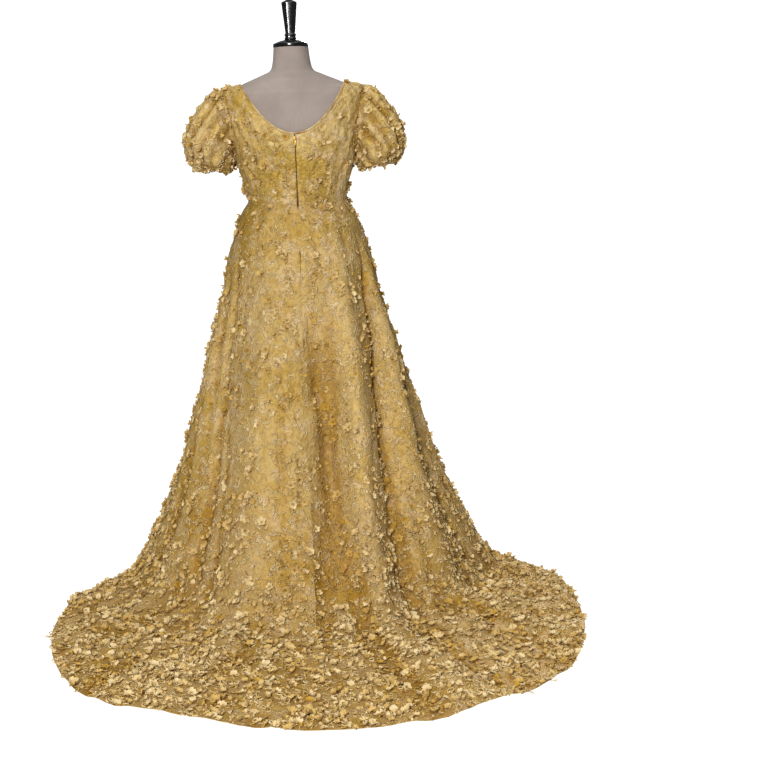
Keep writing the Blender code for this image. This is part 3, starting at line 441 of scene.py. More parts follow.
def body_ease(angle, height):
    """How far the bodice's inside stands off the form: the cups and the gathers under them on the front."""
    place = form_point(angle, height)
    x, y = np.abs(place[..., 0]), np.abs(place[..., 1])
    inside = (height - SHOULDER_FROM, SHOULDER_REACH - x, SHOULDER_HALF_DEPTH - y)
    hanging = smooth(inside[0] / 0.02) * smooth(inside[1] / 0.02) * smooth(inside[2] / 0.02)
    ease = mix(BODY_EASE, SHOULDER_EASE, hanging)
    armhole_x, armhole_z = ARMHOLE_EASE_FROM
    ease = ease + ARMHOLE_EASE * smooth((x - armhole_x) / 0.012) * smooth((height - armhole_z) / 0.02)
    cup = CUP_DEPTH * np.exp(-(((x - CUP_X) / CUP_WIDTH) ** 2) - ((height - CUP_HEIGHT) / CUP_WIDTH) ** 2)
    low = 1 - smooth((height - WAIST_SEAM_FRONT - BAND_HEIGHT) / FRONT_GATHER_REACH)
    gathers = FRONT_GATHER_HEIGHT * (1 + cosine(angle * FRONT_GATHERS)) * low
    return ease + np.where(sine(angle) > 0, 0.0, cup + smooth(-sine(angle) * 2) * (FRONT_EASE + gathers))


def body_point(angle, height, out=0.0):
    """Points of the bodice's inside, or that far outside it."""
    away = body_ease(angle, height) + out
    return form_point(angle, height) + form_normal(angle, height) * away[..., None]


# ---- grids of cloth -------------------------------------------------------------------------------------
HOLLOW = 0.0045  # a depth that counts as the bottom of a fold
HOLLOW_ACROSS = 6  # how many columns a fold's depth is judged over
HOLLOW_ALONG = 5
TRACE_STEPS = 7
CRUMPLE_WAVES = 14


def evened(grid, reach, round_it=False):
    """Each point of a grid moved to the middle of its neighbours across, up to that many to each side."""
    columns = np.arange(grid.shape[1])
    last = len(columns) - 1
    total = 0.0
    for step in range(-reach, reach + 1):
        total = total + grid[:, (columns + step) % last if round_it else np.clip(columns + step, 0, last)]
    return total / (2 * reach + 1)


class Sheet:
    """A grid of points of a piece of cloth, across it and along it, which folds and creases move in and out.
    One with a slit has an odd number of columns. Its middle one is empty, and closed up below that row."""

    def __init__(self, surface, columns, rows, middle=None, closed=False, slit=None):
        self.columns, self.rows, self.closed, self.slit = columns, rows, closed, slit
        self.across, self.along = np.meshgrid(np.linspace(0, 1, columns + 1), np.linspace(0, 1, rows + 1))
        self.points = surface(self.across, self.along)
        self.turn = 1.0
        outwards = self.points * (1, 1, 0) + (0, 0, 0.3) if middle is None else self.points - middle
        self.turn = np.sign(np.mean(np.sum(self.normals() * outwards, axis=-1)))
        self.start, self.outwards = self.points, self.normals()

    def halves(self):
        """The points left and right of the slit, or all of them."""
        return [self.points] if self.slit is None else np.split(self.points, 2, axis=1)

    def normals(self):
        """The outward direction at each point."""
        across = np.concatenate([np.gradient(half, axis=1) for half in self.halves()], axis=1)
        along = np.gradient(self.points, axis=0)
        if self.closed:
            across[:, 0] = across[:, -1] = self.points[:, 1] - self.points[:, -2]
        outwards = unit(np.cross(across, along)) * self.turn
        if self.slit is not None:
            seam = (slice(None, self.slit + 1), self.columns // 2)
            beside = (seam[0], seam[1] + 1)
            outwards[seam] = outwards[beside] = unit(outwards[seam] + outwards[beside])
        return outwards

    def push(self, depth):
        """Moves the points outwards by a depth for each."""
        self.points = self.points + self.normals() * np.broadcast_to(depth, self.across.shape)[..., None]

    def trace(self, start, end, up):
        """A line on the sheet from one x and height to another, or from one x and y where up is 1."""
        flat = self.points.reshape(-1, 3)
        places = mix(np.array(start), np.array(end), np.linspace(0, 1, TRACE_STEPS)[:, None])
        return flat[[np.argmin(np.sum((flat[:, (0, up)] - place) ** 2, axis=1)) for place in places]]

    def crease(self, path, width, depth):
        """A soft trough along a path, or a ridge where its depth is below 0, which fades at both ends."""
        nearest = np.full(self.across.shape, np.inf)
        share = np.zeros(self.across.shape)
        for k, (start, end) in enumerate(zip(path, path[1:])):
            run = end - start
            here = np.clip((self.points - start) @ run / max(run @ run, 1e-12), 0, 1)
            away = np.linalg.norm(self.points - start - here[..., None] * run, axis=-1)
            closer = away < nearest
            nearest = np.where(closer, away, nearest)
            share = np.where(closer, (k + here) / (len(path) - 1), share)
        fade = np.sin(np.pi * mix(0.03, 0.97, share)) ** 0.8
        self.push(-depth * fade * np.exp(-((nearest / width) ** 2)))

    def creases(self, rows, up=2):
        """Presses in those of a table's creases that lie on this sheet."""
        for x, z, to_x, to_z, width, depth in rows:
            if self.points[..., 0].min() - CLOTH <= (x + to_x) / 2 <= self.points[..., 0].max() + CLOTH:
                self.crease(self.trace((x, z), (to_x, to_z), up), width, depth)

    def held_up(self, deepest):
        """Keeps the cloth from sinking further than that below where it started."""
        sunk = np.maximum(-np.sum((self.points - self.start) * self.outwards, axis=-1), 0)
        self.points = self.points + self.outwards * (sunk - deepest * np.tanh(sunk / deepest))[..., None]

    def crumple(self, chance, wavelength, height):
        """Soft unevenness all over: waves of about that length in random directions. The height may vary."""
        total = np.zeros(self.across.shape)
        for _ in range(CRUMPLE_WAVES):
            direction = unit(chance.normal(size=3)) * math.tau / (wavelength * chance.uniform(0.7, 1.5))
            total += np.sin(self.points @ direction + chance.uniform(0, math.tau))
        self.push(height * total / math.sqrt(CRUMPLE_WAVES))

    def hollows(self):
        """How deep each point lies in a fold, from -1 on its ridge to 1 at its bottom."""
        even = np.concatenate([evened(half, HOLLOW_ACROSS, self.closed) for half in self.halves()], axis=1)
        depth = np.sum((even - self.points) * self.normals(), axis=-1)
        share = np.clip((depth - np.median(depth)) / HOLLOW, -1, 1)
        return evened(share.T, HOLLOW_ALONG).T

    def spots(self, chance, density, apart=0.0):
        """Places drawn at a density for each square metre, with the cloth's directions there."""
        p, deep = self.points, self.hollows()[..., None]
        areas = np.linalg.norm(np.cross(p[1:, 1:] - p[:-1, :-1], p[1:, :-1] - p[:-1, 1:]), axis=-1) / 2
        centres = (p[1:, 1:] + p[:-1, :-1]) / 2
        weights = areas * density(centres)
        if self.slit is not None:
            weights[:, self.columns // 2] = 0
        count = int(round(weights.sum()))
        if not count:
            return None
        cells = chance.choice(weights.size, size=count, p=(weights / weights.sum()).ravel())
        row, column = np.divmod(cells, self.columns)
        a, b = chance.random(count)[:, None], chance.random(count)[:, None]

        def between(grid):
            low = mix(grid[row, column], grid[row, column + 1], a)
            return mix(low, mix(grid[row + 1, column], grid[row + 1, column + 1], a), b)

        spots = Spots(between(p), unit(between(self.normals())), chance, deep=between(deep)[:, 0])
        return spots.thinned(apart) if apart else spots


class Spots:
    """Where copies of a small thing go: the place of each, which way is up and along there, and how deep in a
    fold it lies."""

    def __init__(self, place, up, chance, along=None, deep=0.0):
        self.place, self.up, self.chance = place, up, chance
        self.deep = np.broadcast_to(deep, len(place))
        if along is None:
            along = chance.normal(size=place.shape)
        along = along - up * np.sum(along * up, axis=-1, keepdims=True)
        self.along = unit(along)

    def picked(self, keep):
        """Only the spots that are to be kept."""
        return Spots(self.place[keep], self.up[keep], self.chance, self.along[keep], self.deep[keep])

    def thinned(self, apart):
        """The spots without those that lie nearer than that to an earlier one."""
        kept = np.zeros(len(self.place), bool)
        chosen = np.empty_like(self.place)
        count = 0
        for k, place in enumerate(self.place):
            if count and np.min(np.sum((chosen[:count] - place) ** 2, axis=1)) < apart**2:
                continue
            chosen[count], kept[k] = place, True
            count += 1
        return self.picked(kept)

    def tilted(self, most):
        """The same spots with each up direction leant at random."""
        lean = self.chance.normal(size=self.up.shape) * most
        up = unit(self.up + lean - self.up * np.sum(lean * self.up, axis=-1, keepdims=True))
        return Spots(self.place, up, self.chance, self.along, self.deep)


# ---- shapes that are sewn on many times -----------------------------------------------------------------
def shape_of(made):
    """The triangles of a small bmesh, with how far each point stands out from the middle, as arrays."""
    bmesh.ops.triangulate(made, faces=made.faces)
    made.verts.index_update()
    points = np.array([vert.co for vert in made.verts])
    triangles = np.array([[vert.index for vert in face.verts] for face in made.faces])
    made.free()
    reach = np.linalg.norm(points, axis=1)
    return points, triangles, reach / reach.max()


PETAL_ROOT = 0.16  # a petal's width at its root, as a share of its widest
PETAL_TIP = 0.17  # how far back the corners of its tip are drawn, as a share of its length


def add_petal(made, length, width, lift, cup, rows, turn=0.0):
    """A petal from the middle outwards: a small grid, narrow at its root and round at its tip. lift is how
    high the tip stands, cup how high its sides do."""
    petal = bmesh.ops.create_grid(made, x_segments=2, y_segments=rows, size=0.5)["verts"]
    for vert in petal:
        beside, along = vert.co.x * 2, vert.co.y + 0.5
        swell = math.sin(math.pi * (0.06 + 0.74 * along)) ** 0.8
        half = width / 2 * (PETAL_ROOT + (1 - PETAL_ROOT) * swell)
        rounded = 1 - PETAL_TIP * beside**2 * smooth(along)
        raised = lift * along**1.6 + cup * beside**2 * smooth(along * 1.5)
        vert.co = (beside * half, length * along * rounded, raised)
    bmesh.ops.rotate(made, verts=petal, cent=(0, 0, 0), matrix=Matrix.Rotation(turn, 3, "Z"))


def blossom(petals, length, width, lift, cup, heart, uneven=0.0):
    """A flower of soft petals, round a ball of the heart's radius unless that is 0."""
    made = bmesh.new()
    for k in range(petals):
        other = 1 + uneven * math.sin(2.3 * k + 1)
        turn = math.tau * (k + 0.13 * uneven * k) / petals
        add_petal(made, length * other, width, lift / other, cup, 3, turn)
    if heart:
        ball = bmesh.ops.create_uvsphere(made, u_segments=4, v_segments=2, radius=heart)["verts"]
        bmesh.ops.translate(made, verts=ball, vec=(0, 0, heart * 0.9))
    return shape_of(made)


def loose_petal(length, width, lift, cup, rows=3):
    """A single petal held at its root."""
    made = bmesh.new()
    add_petal(made, length, width, lift, cup, rows)
    return shape_of(made)


def cord_loop(radius, cord, degrees, squash=1.0):
    """A loop of lace cord, whole or open, lying on the cloth, squashed to an oval."""
    made = bmesh.new()
    ring = bmesh.ops.create_circle(made, segments=3, radius=cord / 2)["verts"]
    bmesh.ops.rotate(made, verts=ring, cent=(0, 0, 0), matrix=Matrix.Rotation(math.pi / 2, 3, "X"))
    bmesh.ops.translate(made, verts=ring, vec=(radius, 0, cord * 0.35))
    whole = degrees == 360
    bmesh.ops.spin(made, geom=made.verts[:] + made.edges[:], cent=(0, 0, 0), axis=(0, 0, 1), dvec=(0, 0, 0),
                   angle=math.radians(degrees), steps=8 if whole else 5, use_merge=whole, use_duplicate=False)
    if whole:
        bmesh.ops.remove_doubles(made, verts=made.verts, dist=cord * 0.05)
    else:
        bmesh.ops.holes_fill(made, edges=[edge for edge in made.edges if edge.is_boundary], sides=4)
    bmesh.ops.scale(made, verts=made.verts, vec=(1.0, squash, 1.0))
    bmesh.ops.recalc_face_normals(made, faces=made.faces)
    return shape_of(made)


def tooth(width, height, stand):
    """One of the zip's teeth: a small block."""
    made = bmesh.new()
    bmesh.ops.create_cube(made, size=1.0)
    bmesh.ops.scale(made, verts=made.verts, vec=(width, height, stand))
    bmesh.ops.translate(made, verts=made.verts, vec=(0, 0, stand / 2))
    return shape_of(made)


def bead(radius):
    """A round bead on the cloth."""
    made = bmesh.new()
    bmesh.ops.create_uvsphere(made, u_segments=4, v_segments=3, radius=radius)
    bmesh.ops.translate(made, verts=made.verts, vec=(0, 0, radius * 0.8))
    return shape_of(made)


def stitch(length, thread):
    """A short straight run of thread on the cloth."""
    made = bmesh.new()
    bmesh.ops.create_cone(made, cap_ends=True, segments=5, radius1=thread, radius2=thread, depth=length)
    bmesh.ops.rotate(made, verts=made.verts, cent=(0, 0, 0), matrix=Matrix.Rotation(math.pi / 2, 3, "Y"))
    bmesh.ops.translate(made, verts=made.verts, vec=(0, 0, thread * 0.4))
    return shape_of(made)


# A tint of 0 is the satin's own gold, 1 is the palest cream.
SHAPES = {
    # name: (shape, smallest size, largest size, lean, tint from, tint to)
    "blossom": (blossom(5, 0.0114, 0.0098, 0.0048, 0.0022, 0.0014), 0.60, 1.18, 0.34, 0.40, 1.30),
    "open_blossom": (blossom(5, 0.0098, 0.0084, 0.0032, 0.0018, 0.0, 0.25), 0.65, 1.15, 0.28, 0.15, 0.85),
    "rosette": (blossom(4, 0.0080, 0.0092, 0.0088, 0.0024, 0.0018, 0.22), 0.58, 1.12, 0.36, 0.40, 1.30),
    "petal": (loose_petal(0.0135, 0.0110, 0.0042, 0.0020), 0.50, 1.10, 0.34, 0.10, 0.95),
    "curl": (loose_petal(0.0110, 0.0070, 0.0070, 0.0026), 0.55, 1.10, 0.45, 0.05, 0.70),
    "crumb": (loose_petal(0.0066, 0.0058, 0.0034, 0.0016, 2), 0.60, 1.25, 0.50, 0.05, 0.90),
    "wide_petal": (loose_petal(0.0220, 0.0190, 0.0036, 0.0024), 0.70, 1.10, 0.22, 0.95, 1.25),
    "ring": (cord_loop(0.0070, 0.0034, 360, 0.72), 0.70, 1.20, 0.36, 0.40, 1.10),
    "scroll": (cord_loop(0.0074, 0.0027, 220, 0.80), 0.55, 1.25, 0.12, 0.15, 0.75),
    "bud": (bead(0.0030), 0.55, 1.15, 0.05, 0.60, 1.10),
    "bead": (bead(0.0016), 0.70, 1.40, 0.05, 0.60, 1.10),
    "stitch": (stitch(0.0034, 0.00030), 0.85, 1.10, 0.0, 0.5, 0.5),
    "tooth": (tooth(0.0026, 0.0012, 0.00040), 1.00, 1.0001, 0.0, 0.5, 0.5),
}
EVEN_SHAPES = ("stitch", "tooth", "bead", "bud")
VARIANTS = 6
PALENESS = 2.3  # the higher, the fewer pale ones
# Painted shade of the folds on the sewn shapes:
FOLD_SHADE_TINT = 0.25  # how much less pale they are at the bottom of a fold
CRUSH = 0.065  # how far a crushed petal's points stray, as a share of its reach
CRUSH_UPWARDS = 0.8


def copies(name, spots, paler=1.0):
    """A copy of a named shape at each spot, crushed a little unless it is an even one: their points,
    triangles, tint and edge."""
    (points, triangles, edge), smallest, largest, lean, pale_from, pale_to = SHAPES[name]
    chance, count = spots.chance, len(spots.place)
    if lean:
        spots = spots.tilted(lean)
    crushed = np.repeat(points[None], VARIANTS, axis=0)
    if name not in EVEN_SHAPES:
        reach = np.linalg.norm(points, axis=1).max()
        stray = chance.normal(size=crushed.shape) * reach * CRUSH * edge[:, None]
        crushed = crushed + stray * (1.0, 1.0, CRUSH_UPWARDS)
    picked = crushed[chance.randint(0, VARIANTS, count)]
    size = chance.uniform(smallest, largest, count)
    axes = np.stack((spots.along, np.cross(spots.up, spots.along), spots.up), axis=1)
    placed = np.einsum("npk,nkd->npd", picked, axes) * size[:, None, None] + spots.place[:, None]
    shifted = triangles[None] + (np.arange(count) * len(points))[:, None, None]
    tint = mix(pale_from, pale_to, chance.uniform(0, 1, count) ** PALENESS) * paler
    # Painted shade: copies that lie at the bottom of a fold get a less pale tint.
    tint = np.repeat(np.maximum(tint - FOLD_SHADE_TINT * spots.deep, 0.0), len(points))
    return placed.reshape(-1, 3), shifted.reshape(-1, 3), tint, np.tile(edge, count)


def sewn_on(name, groups, finish):
    """Copies of small shapes as one joined piece, none of it below the floor."""
    points, triangles, tints, edges = [], [], [], []
    start = 0
    for placed, shifted, tint, edge in groups:
        points.append(placed)
        triangles.append(shifted + start)
        tints.append(tint)
        edges.append(edge)
        start += len(placed)
    points = np.concatenate(points)
    points[:, 2] = np.maximum(points[:, 2], FLOOR_GAP)
    mesh = bpy.data.meshes.new(name)
    mesh.from_pydata(points, [], np.concatenate(triangles))
    for key, values in (("tint", tints), ("edge", edges)):
        layer = mesh.attributes.new(key, "FLOAT", "POINT")
        layer.data.foreach_set("value", np.concatenate(values).astype(np.float32))
    mesh.shade_smooth()
    return finished(name, mesh, finish)


def finished(name, mesh, finish, body="gown_on_form"):
    """The mesh as a piece that rides on its body, with its finish."""
    piece = bpy.data.objects.new(name, mesh)
    bpy.context.scene.collection.objects.link(piece)
    mesh.materials.append(finish)
    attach(piece, body)
    return piece


def mesh_of(name, made, sharp_degrees=40.0):
    """A bmesh as a mesh, shaded smooth but for its sharp edges."""
    mesh = bpy.data.meshes.new(name)
    made.to_mesh(mesh)
    made.free()
    mesh.shade_smooth()
    mesh.set_sharp_from_angle(angle=math.radians(sharp_degrees))
    return mesh


def thicken(made, thick):
    """Gives an open sheet an inner side and rims."""
    made.normal_update()
    inner = bmesh.ops.extrude_face_region(made, geom=made.faces[:], use_keep_orig=True)["geom"]
    made.normal_update()
    for part in inner:
        if isinstance(part, bmesh.types.BMVert):
            part.co -= part.normal * thick
    bmesh.ops.recalc_face_normals(made, faces=made.faces)


def cloth_piece(name, sheet, finish, node, weave, lace, thick=SHELL, filled=False):
    """A sheet's grid as a piece of cloth with its thickness. weave is the real size of its UV map, lace how
    much raised lace each of its points carries. A filled one is closed at its open ends."""
    made = bmesh.new()
    threads = made.loops.layers.uv.new("weave")
    richness = made.verts.layers.float.new("lace")
    hollow = made.verts.layers.float.new("hollow")
    bmesh.ops.create_grid(made, x_segments=sheet.columns, y_segments=sheet.rows, size=0.5, calc_uvs=True)
    rows = zip(made.verts, sheet.points.reshape(-1, 3), lace(sheet).ravel(), sheet.hollows().ravel())
    for vert, place, share, deep in rows:
        vert.co = place
        vert[richness], vert[hollow] = share, deep
    for face in made.faces:
        for loop in face.loops:
            loop[threads].uv = (loop[threads].uv[0] * weave[0], loop[threads].uv[1] * weave[1])
    if sheet.slit is not None:
        middle = {sheet.columns // 2, sheet.columns // 2 + 1}
        width = sheet.columns + 1
        empty = [face for face in made.faces if {vert.index % width for vert in face.verts} == middle]
        bmesh.ops.delete(made, geom=empty, context="FACES_ONLY")
    if sheet.closed or sheet.slit is not None:
        bmesh.ops.remove_doubles(made, verts=made.verts, dist=TOUCHING)
    if sheet.turn < 0:
        bmesh.ops.reverse_faces(made, faces=made.faces)
    if filled:
        bmesh.ops.holes_fill(made, edges=[edge for edge in made.edges if edge.is_boundary])
    if thick:
        thicken(made, thick)
    piece = finished(name, mesh_of(name, made, 70.0), finish)
    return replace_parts(piece, node)


# ---- finishes -------------------------------------------------------------------------------------------
class Value:
    """A number or colour of a finish that varies over the surface. Python's operators add Math nodes."""

    def __init__(self, finish, socket):
        self.finish, self.socket = finish, socket

    def math(self, operation, *values):
        return self.finish.node("ShaderNodeMath", {"operation": operation}, dict(enumerate(values)))

    def __add__(self, other):
        return self.math("ADD", self, other)

    def __sub__(self, other):
        return self.math("SUBTRACT", self, other)

    def __rsub__(self, other):
        return self.math("SUBTRACT", other, self)

    def __mul__(self, other):
        return self.math("MULTIPLY", self, other)

    __radd__ = __add__
    __rmul__ = __mul__

    def larger(self, other):
        return self.math("MAXIMUM", self, other)

    def rising(self, low, high):
        """0 below low, 1 above high, smooth between."""
        inputs = {"Value": self, "From Min": low, "From Max": high}
        return self.finish.node("ShaderNodeMapRange", {"interpolation_type": "SMOOTHSTEP"}, inputs)


class Finish:
    """A material with one Principled shader."""

    def __init__(self, name, constants):
        self.material = bpy.data.materials.new(name)
        self.material.use_nodes = True
        self.tree = self.material.node_tree
        self.shader = self.tree.nodes["Principled BSDF"]
        for socket, value in constants.items():
            self.shader.inputs[socket].default_value = value

    def node(self, kind, settings=None, inputs=None, output=0):
        """Adds a node, sets it and feeds it, and returns one of its outputs."""
        made = self.tree.nodes.new(kind)
        for key, value in (settings or {}).items():
            setattr(made, key, value)
        for key, value in (inputs or {}).items():
            if isinstance(value, Value):
                self.tree.links.new(value.socket, made.inputs[key])
            else:
                made.inputs[key].default_value = value
        return Value(self, made.outputs[output])

    def feed(self, socket, value):
        self.tree.links.new(value.socket, self.shader.inputs[socket])

    def place(self):
        return self.node("ShaderNodeTexCoord", output="Object")

    def weave(self):
        """The place on the cloth, from its own UV map."""
        return self.node("ShaderNodeTexCoord", output="UV")

    def attribute(self, name):
        return self.node("ShaderNodeAttribute", {"attribute_name": name}, output="Fac")

    def noise(self, at, scale, detail=2.0, roughness=0.5):
        inputs = {"Vector": at, "Scale": scale, "Detail": detail, "Roughness": roughness}
        return self.node("ShaderNodeTexNoise", None, inputs)

    def cells(self, at, scale, feature="F1"):
        """How far each place is from the middle, or the edge, of its cell."""
        inputs = {"Vector": at, "Scale": scale}
        return self.node("ShaderNodeTexVoronoi", {"feature": feature}, inputs, "Distance")

    def bands(self, at, scale, direction, distortion, detail_scale=1.0):
        """Stripes side by side in a direction, which waver with the distortion."""
        settings = {"wave_type": "BANDS", "bands_direction": direction}
        inputs = {"Vector": at, "Scale": scale, "Distortion": distortion, "Detail Scale": detail_scale}
        return self.node("ShaderNodeTexWave", settings, inputs, "Fac")

    def wandering(self, at, scale, reach):
        """The place, moved about by noise."""
        drift = self.node("ShaderNodeTexNoise", None, {"Vector": at, "Scale": scale, "Detail": 1.0}, "Color")
        centred = self.node("ShaderNodeVectorMath", {"operation": "SUBTRACT"}, {0: drift, 1: (0.5, 0.5, 0.5)})
        moved = self.node("ShaderNodeVectorMath", {"operation": "SCALE"}, {0: centred, "Scale": reach})
        return self.node("ShaderNodeVectorMath", {"operation": "ADD"}, {0: at, 1: moved})

    def mix(self, low, high, factor):
        """Between two colours."""
        return self.node("ShaderNodeMix", {"data_type": "RGBA"}, {0: factor, 6: low, 7: high}, output=2)

    def bump(self, height, distance):
        """Relief, in which a height of 1 stands for that distance in metres."""
        inputs = {"Strength": 1.0, "Distance": distance, "Height": height}
        self.feed("Normal", self.node("ShaderNodeBump", None, inputs, "Normal"))


def colour(red, green, blue):
    """A colour given as it shows on a screen, 0 to 255."""
    linear = []
    for shown in (red, green, blue):
        linear.append(((shown / 255 + 0.055) / 1.055) ** 2.4 if shown > 10 else shown / 255 / 12.92)
    return (*linear, 1.0)


WHITE = (1.0, 1.0, 1.0, 1.0)
BLACK = (0.0, 0.0, 0.0, 1.0)
# Painted shade: this deep gold darkens the satin in its fold hollows, in its crinkle's pits and between the
# lace cords, and the petals at their roots. It is also the dark end of the plain satin's mottle.
GOLD_DEEP_AND_SHADE = colour(142, 99, 8)
GOLD_MIDDLE = colour(174, 146, 74)
GOLD_LIT = colour(196, 172, 120)
SATIN_PALE = colour(208, 186, 154)
CORD_PALE = colour(216, 196, 154)
PETAL_GOLD = colour(182, 145, 56)
PETAL_CREAM = colour(219, 199, 156)
SHEEN_GOLD = colour(250, 214, 150)
LINEN_LIGHT = colour(166, 154, 146)
LINEN_DARK = colour(146, 134, 126)


def satin_finish():
    """Gold satin, crinkled all over, under a lace of short curled cords, with painted shade in its fold
    hollows, in the pits of its crinkle and between the cords, and a painted highlight on its ridges.
    Attributes say where the lace is rich and where the hollows are."""
    finish = Finish("gold_satin", {"Metallic": 0.22, "Specular IOR Level": 0.35, "Specular Tint": SHEEN_GOLD})
    at = finish.place()
    lace, hollow = finish.attribute("lace"), finish.attribute("hollow")
    wandered = finish.wandering(at, 50.0, 0.026)
    veins = 1 - finish.cells(wandered, 50.0, "DISTANCE_TO_EDGE").rising(0.02, 0.12)
    strokes = veins * finish.noise(at, 48.0, 2.0).rising(0.48, 0.58)
    knots = (1 - finish.cells(at, 135.0).rising(0.12, 0.38)) * finish.noise(at, 27.0).rising(0.45, 0.58)
    raised = strokes.larger(knots * 0.8) * lace
    broad = finish.noise(at, 4.5, 3.0)
    ground = finish.mix(GOLD_MIDDLE, GOLD_LIT, broad.rising(0.30, 0.62))
    ground = finish.mix(ground, SATIN_PALE, finish.noise(wandered, 24.0, 3.0, 0.6).rising(0.46, 0.66) * 0.6)
    crinkle = finish.noise(wandered, 74.0, 3.0, 0.6)
    # Painted shade: the satin is darker in the pits of its crinkle.
    ground = finish.mix(ground, GOLD_DEEP_AND_SHADE, (1 - crinkle.rising(0.36, 0.54)) * 0.36)
    # Painted highlight on the folds' ridges, then painted shade in their hollows.
    ground = finish.mix(ground, GOLD_LIT, (0.0 - hollow).rising(0.05, 0.9) * 0.34)
    ground = finish.mix(ground, GOLD_DEEP_AND_SHADE, hollow.rising(0.0, 0.9) * 0.46)
    # Painted shade: the ground is darker between the raised cords where the lace is rich.
    between = finish.mix(ground, GOLD_DEEP_AND_SHADE, (1 - raised) * lace.rising(0.5, 1.1) * 0.36)
    # Painted shade: the cords are less pale in the fold hollows.
    cords = raised * 0.70 * (1 - hollow.rising(0.0, 1.0) * 0.5)
    finish.feed("Base Color", finish.mix(between, CORD_PALE, cords))
    finish.feed("Roughness", 0.46 + 0.18 * raised + 0.14 * broad)
    threads = finish.bands(finish.weave(), 420.0, "DIAGONAL", 1.5)
    finish.bump(raised * 0.50 + crinkle * 0.72 + threads * 0.012, 0.0064)
    return finish.material


def smooth_satin_finish():
    """The same satin with no lace on it, for the bindings and bands."""
    finish = Finish("gold_satin_plain", {"Sheen Weight": 0.2, "Sheen Roughness": 0.35})
    at = finish.place()
    finish.feed("Base Color", finish.mix(GOLD_DEEP_AND_SHADE, GOLD_LIT, finish.noise(at, 45.0, 3.0).rising(0.25, 0.65)))
    finish.feed("Roughness", 0.40 + 0.16 * finish.noise(at, 120.0))
    finish.bump(finish.noise(at, 260.0, 3.0), 0.0009)
    return finish.material


def petal_finish():
    """Thin silk petals, each of its own tint, with painted shade that darkens their roots, so that they are
    paler to their edges.
    """
    constants = {"Sheen Weight": 0.1, "Specular IOR Level": 0.2, "Specular Tint": SHEEN_GOLD}
    finish = Finish("petal_silk", constants)
    at = finish.place()
    tint, edge = finish.attribute("tint"), finish.attribute("edge")
    shade = finish.mix(PETAL_GOLD, PETAL_CREAM, tint)
    # Painted shade: each petal is darker towards its root.
    deep = finish.mix(GOLD_DEEP_AND_SHADE, shade, edge.rising(-0.12, 0.66))
    flecks = finish.noise(at, 210.0, 2.0).rising(0.52, 0.78) * 0.5
    finish.feed("Base Color", finish.mix(deep, GOLD_MIDDLE, flecks))
    finish.feed("Roughness", 0.50 + 0.15 * (1 - edge))
    finish.bump(finish.noise(at, 420.0, 3.0), 0.0012)
    return finish.material


def linen_finish():
    """Unbleached linen with a plain weave and slubs."""
    finish = Finish("linen", {"Specular IOR Level": 0.25, "Sheen Weight": 0.1})
    weave, at = finish.weave(), finish.place()
    down = finish.bands(weave, 330.0, "X", 2.0, 2.0)
    across = finish.bands(weave, 330.0, "Y", 2.0, 2.0)
    stretched = finish.node("ShaderNodeMapping", None, {"Vector": weave, "Scale": (260.0, 9.0, 1.0)})
    slubs = finish.noise(stretched, 3.0, 2.0)
    cloudy = finish.noise(at, 14.0, 4.0)
    tone = cloudy.rising(0.25, 0.75) * 0.5 + slubs.rising(0.3, 0.8) * 0.3 + down.larger(across) * 0.2
    finish.feed("Base Color", finish.mix(LINEN_DARK, LINEN_LIGHT, tone))
    finish.feed("Roughness", 0.86 + 0.08 * cloudy)
    finish.bump(down * 0.4 + across * 0.4 + slubs * 0.5, 0.0004)
    return finish.material


def lacquer_finish():
    """Black lacquer over turned wood, a little dusty and rubbed."""
    finish = Finish("black_lacquer", {"Coat Roughness": 0.06, "Specular IOR Level": 0.5})
    at = finish.place()
    dust = finish.noise(at, 60.0, 5.0, 0.7).rising(0.45, 0.85)
    finish.feed("Base Color", finish.mix(colour(10, 10, 11), colour(44, 42, 42), dust))
    finish.feed("Roughness", 0.16 + 0.22 * dust)
    finish.feed("Coat Weight", 0.6 - 0.4 * dust)
    finish.bump(finish.noise(at, 240.0, 3.0), 0.0002)
    return finish.material


def metal_finish(name, dark, light, grain):
    """Worn metal with a fine grain."""
    finish = Finish(name, {"Metallic": 1.0})
    at = finish.place()
    worn = finish.noise(at, grain, 4.0, 0.6)
    finish.feed("Base Color", finish.mix(dark, light, worn.rising(0.3, 0.7)))
    finish.feed("Roughness", 0.28 + 0.25 * worn)
    finish.bump(finish.noise(at, grain * 4, 3.0), 0.0001)
    return finish.material


def tape_finish():
    """The woven tape of the zip, in a brown gold."""
    finish = Finish("zip_tape", {"Specular IOR Level": 0.3})
    ribs = finish.bands(finish.place(), 400.0, "Z", 0.5)
    finish.feed("Base Color", finish.mix(colour(70, 46, 14), colour(120, 86, 34), ribs))
    finish.feed("Roughness", 0.75 + 0.1 * ribs)
    finish.bump(ribs, 0.0002)
    return finish.material


def thread_finish():
    """Gold sewing thread, with its twist."""
    finish = Finish("sewing_thread", {"Sheen Weight": 0.3})
    twist = finish.noise(finish.place(), 2400.0)
    finish.feed("Base Color", finish.mix(colour(160, 122, 52), colour(206, 174, 104), twist))
    finish.feed("Roughness", 0.5 + 0.2 * twist)
    finish.bump(twist, 0.0001)
    return finish.material


SATIN = satin_finish()
PLAIN_SATIN = smooth_satin_finish()
PETAL = petal_finish()
LINEN = linen_finish()
LACQUER = lacquer_finish()
ZIP_BRASS = metal_finish("zip_metal", colour(110, 84, 40), colour(196, 160, 96), 900.0)
STEEL = metal_finish("stand_steel", colour(40, 40, 43), colour(96, 97, 101), 70.0)
TAPE = tape_finish()
THREAD = thread_finish()


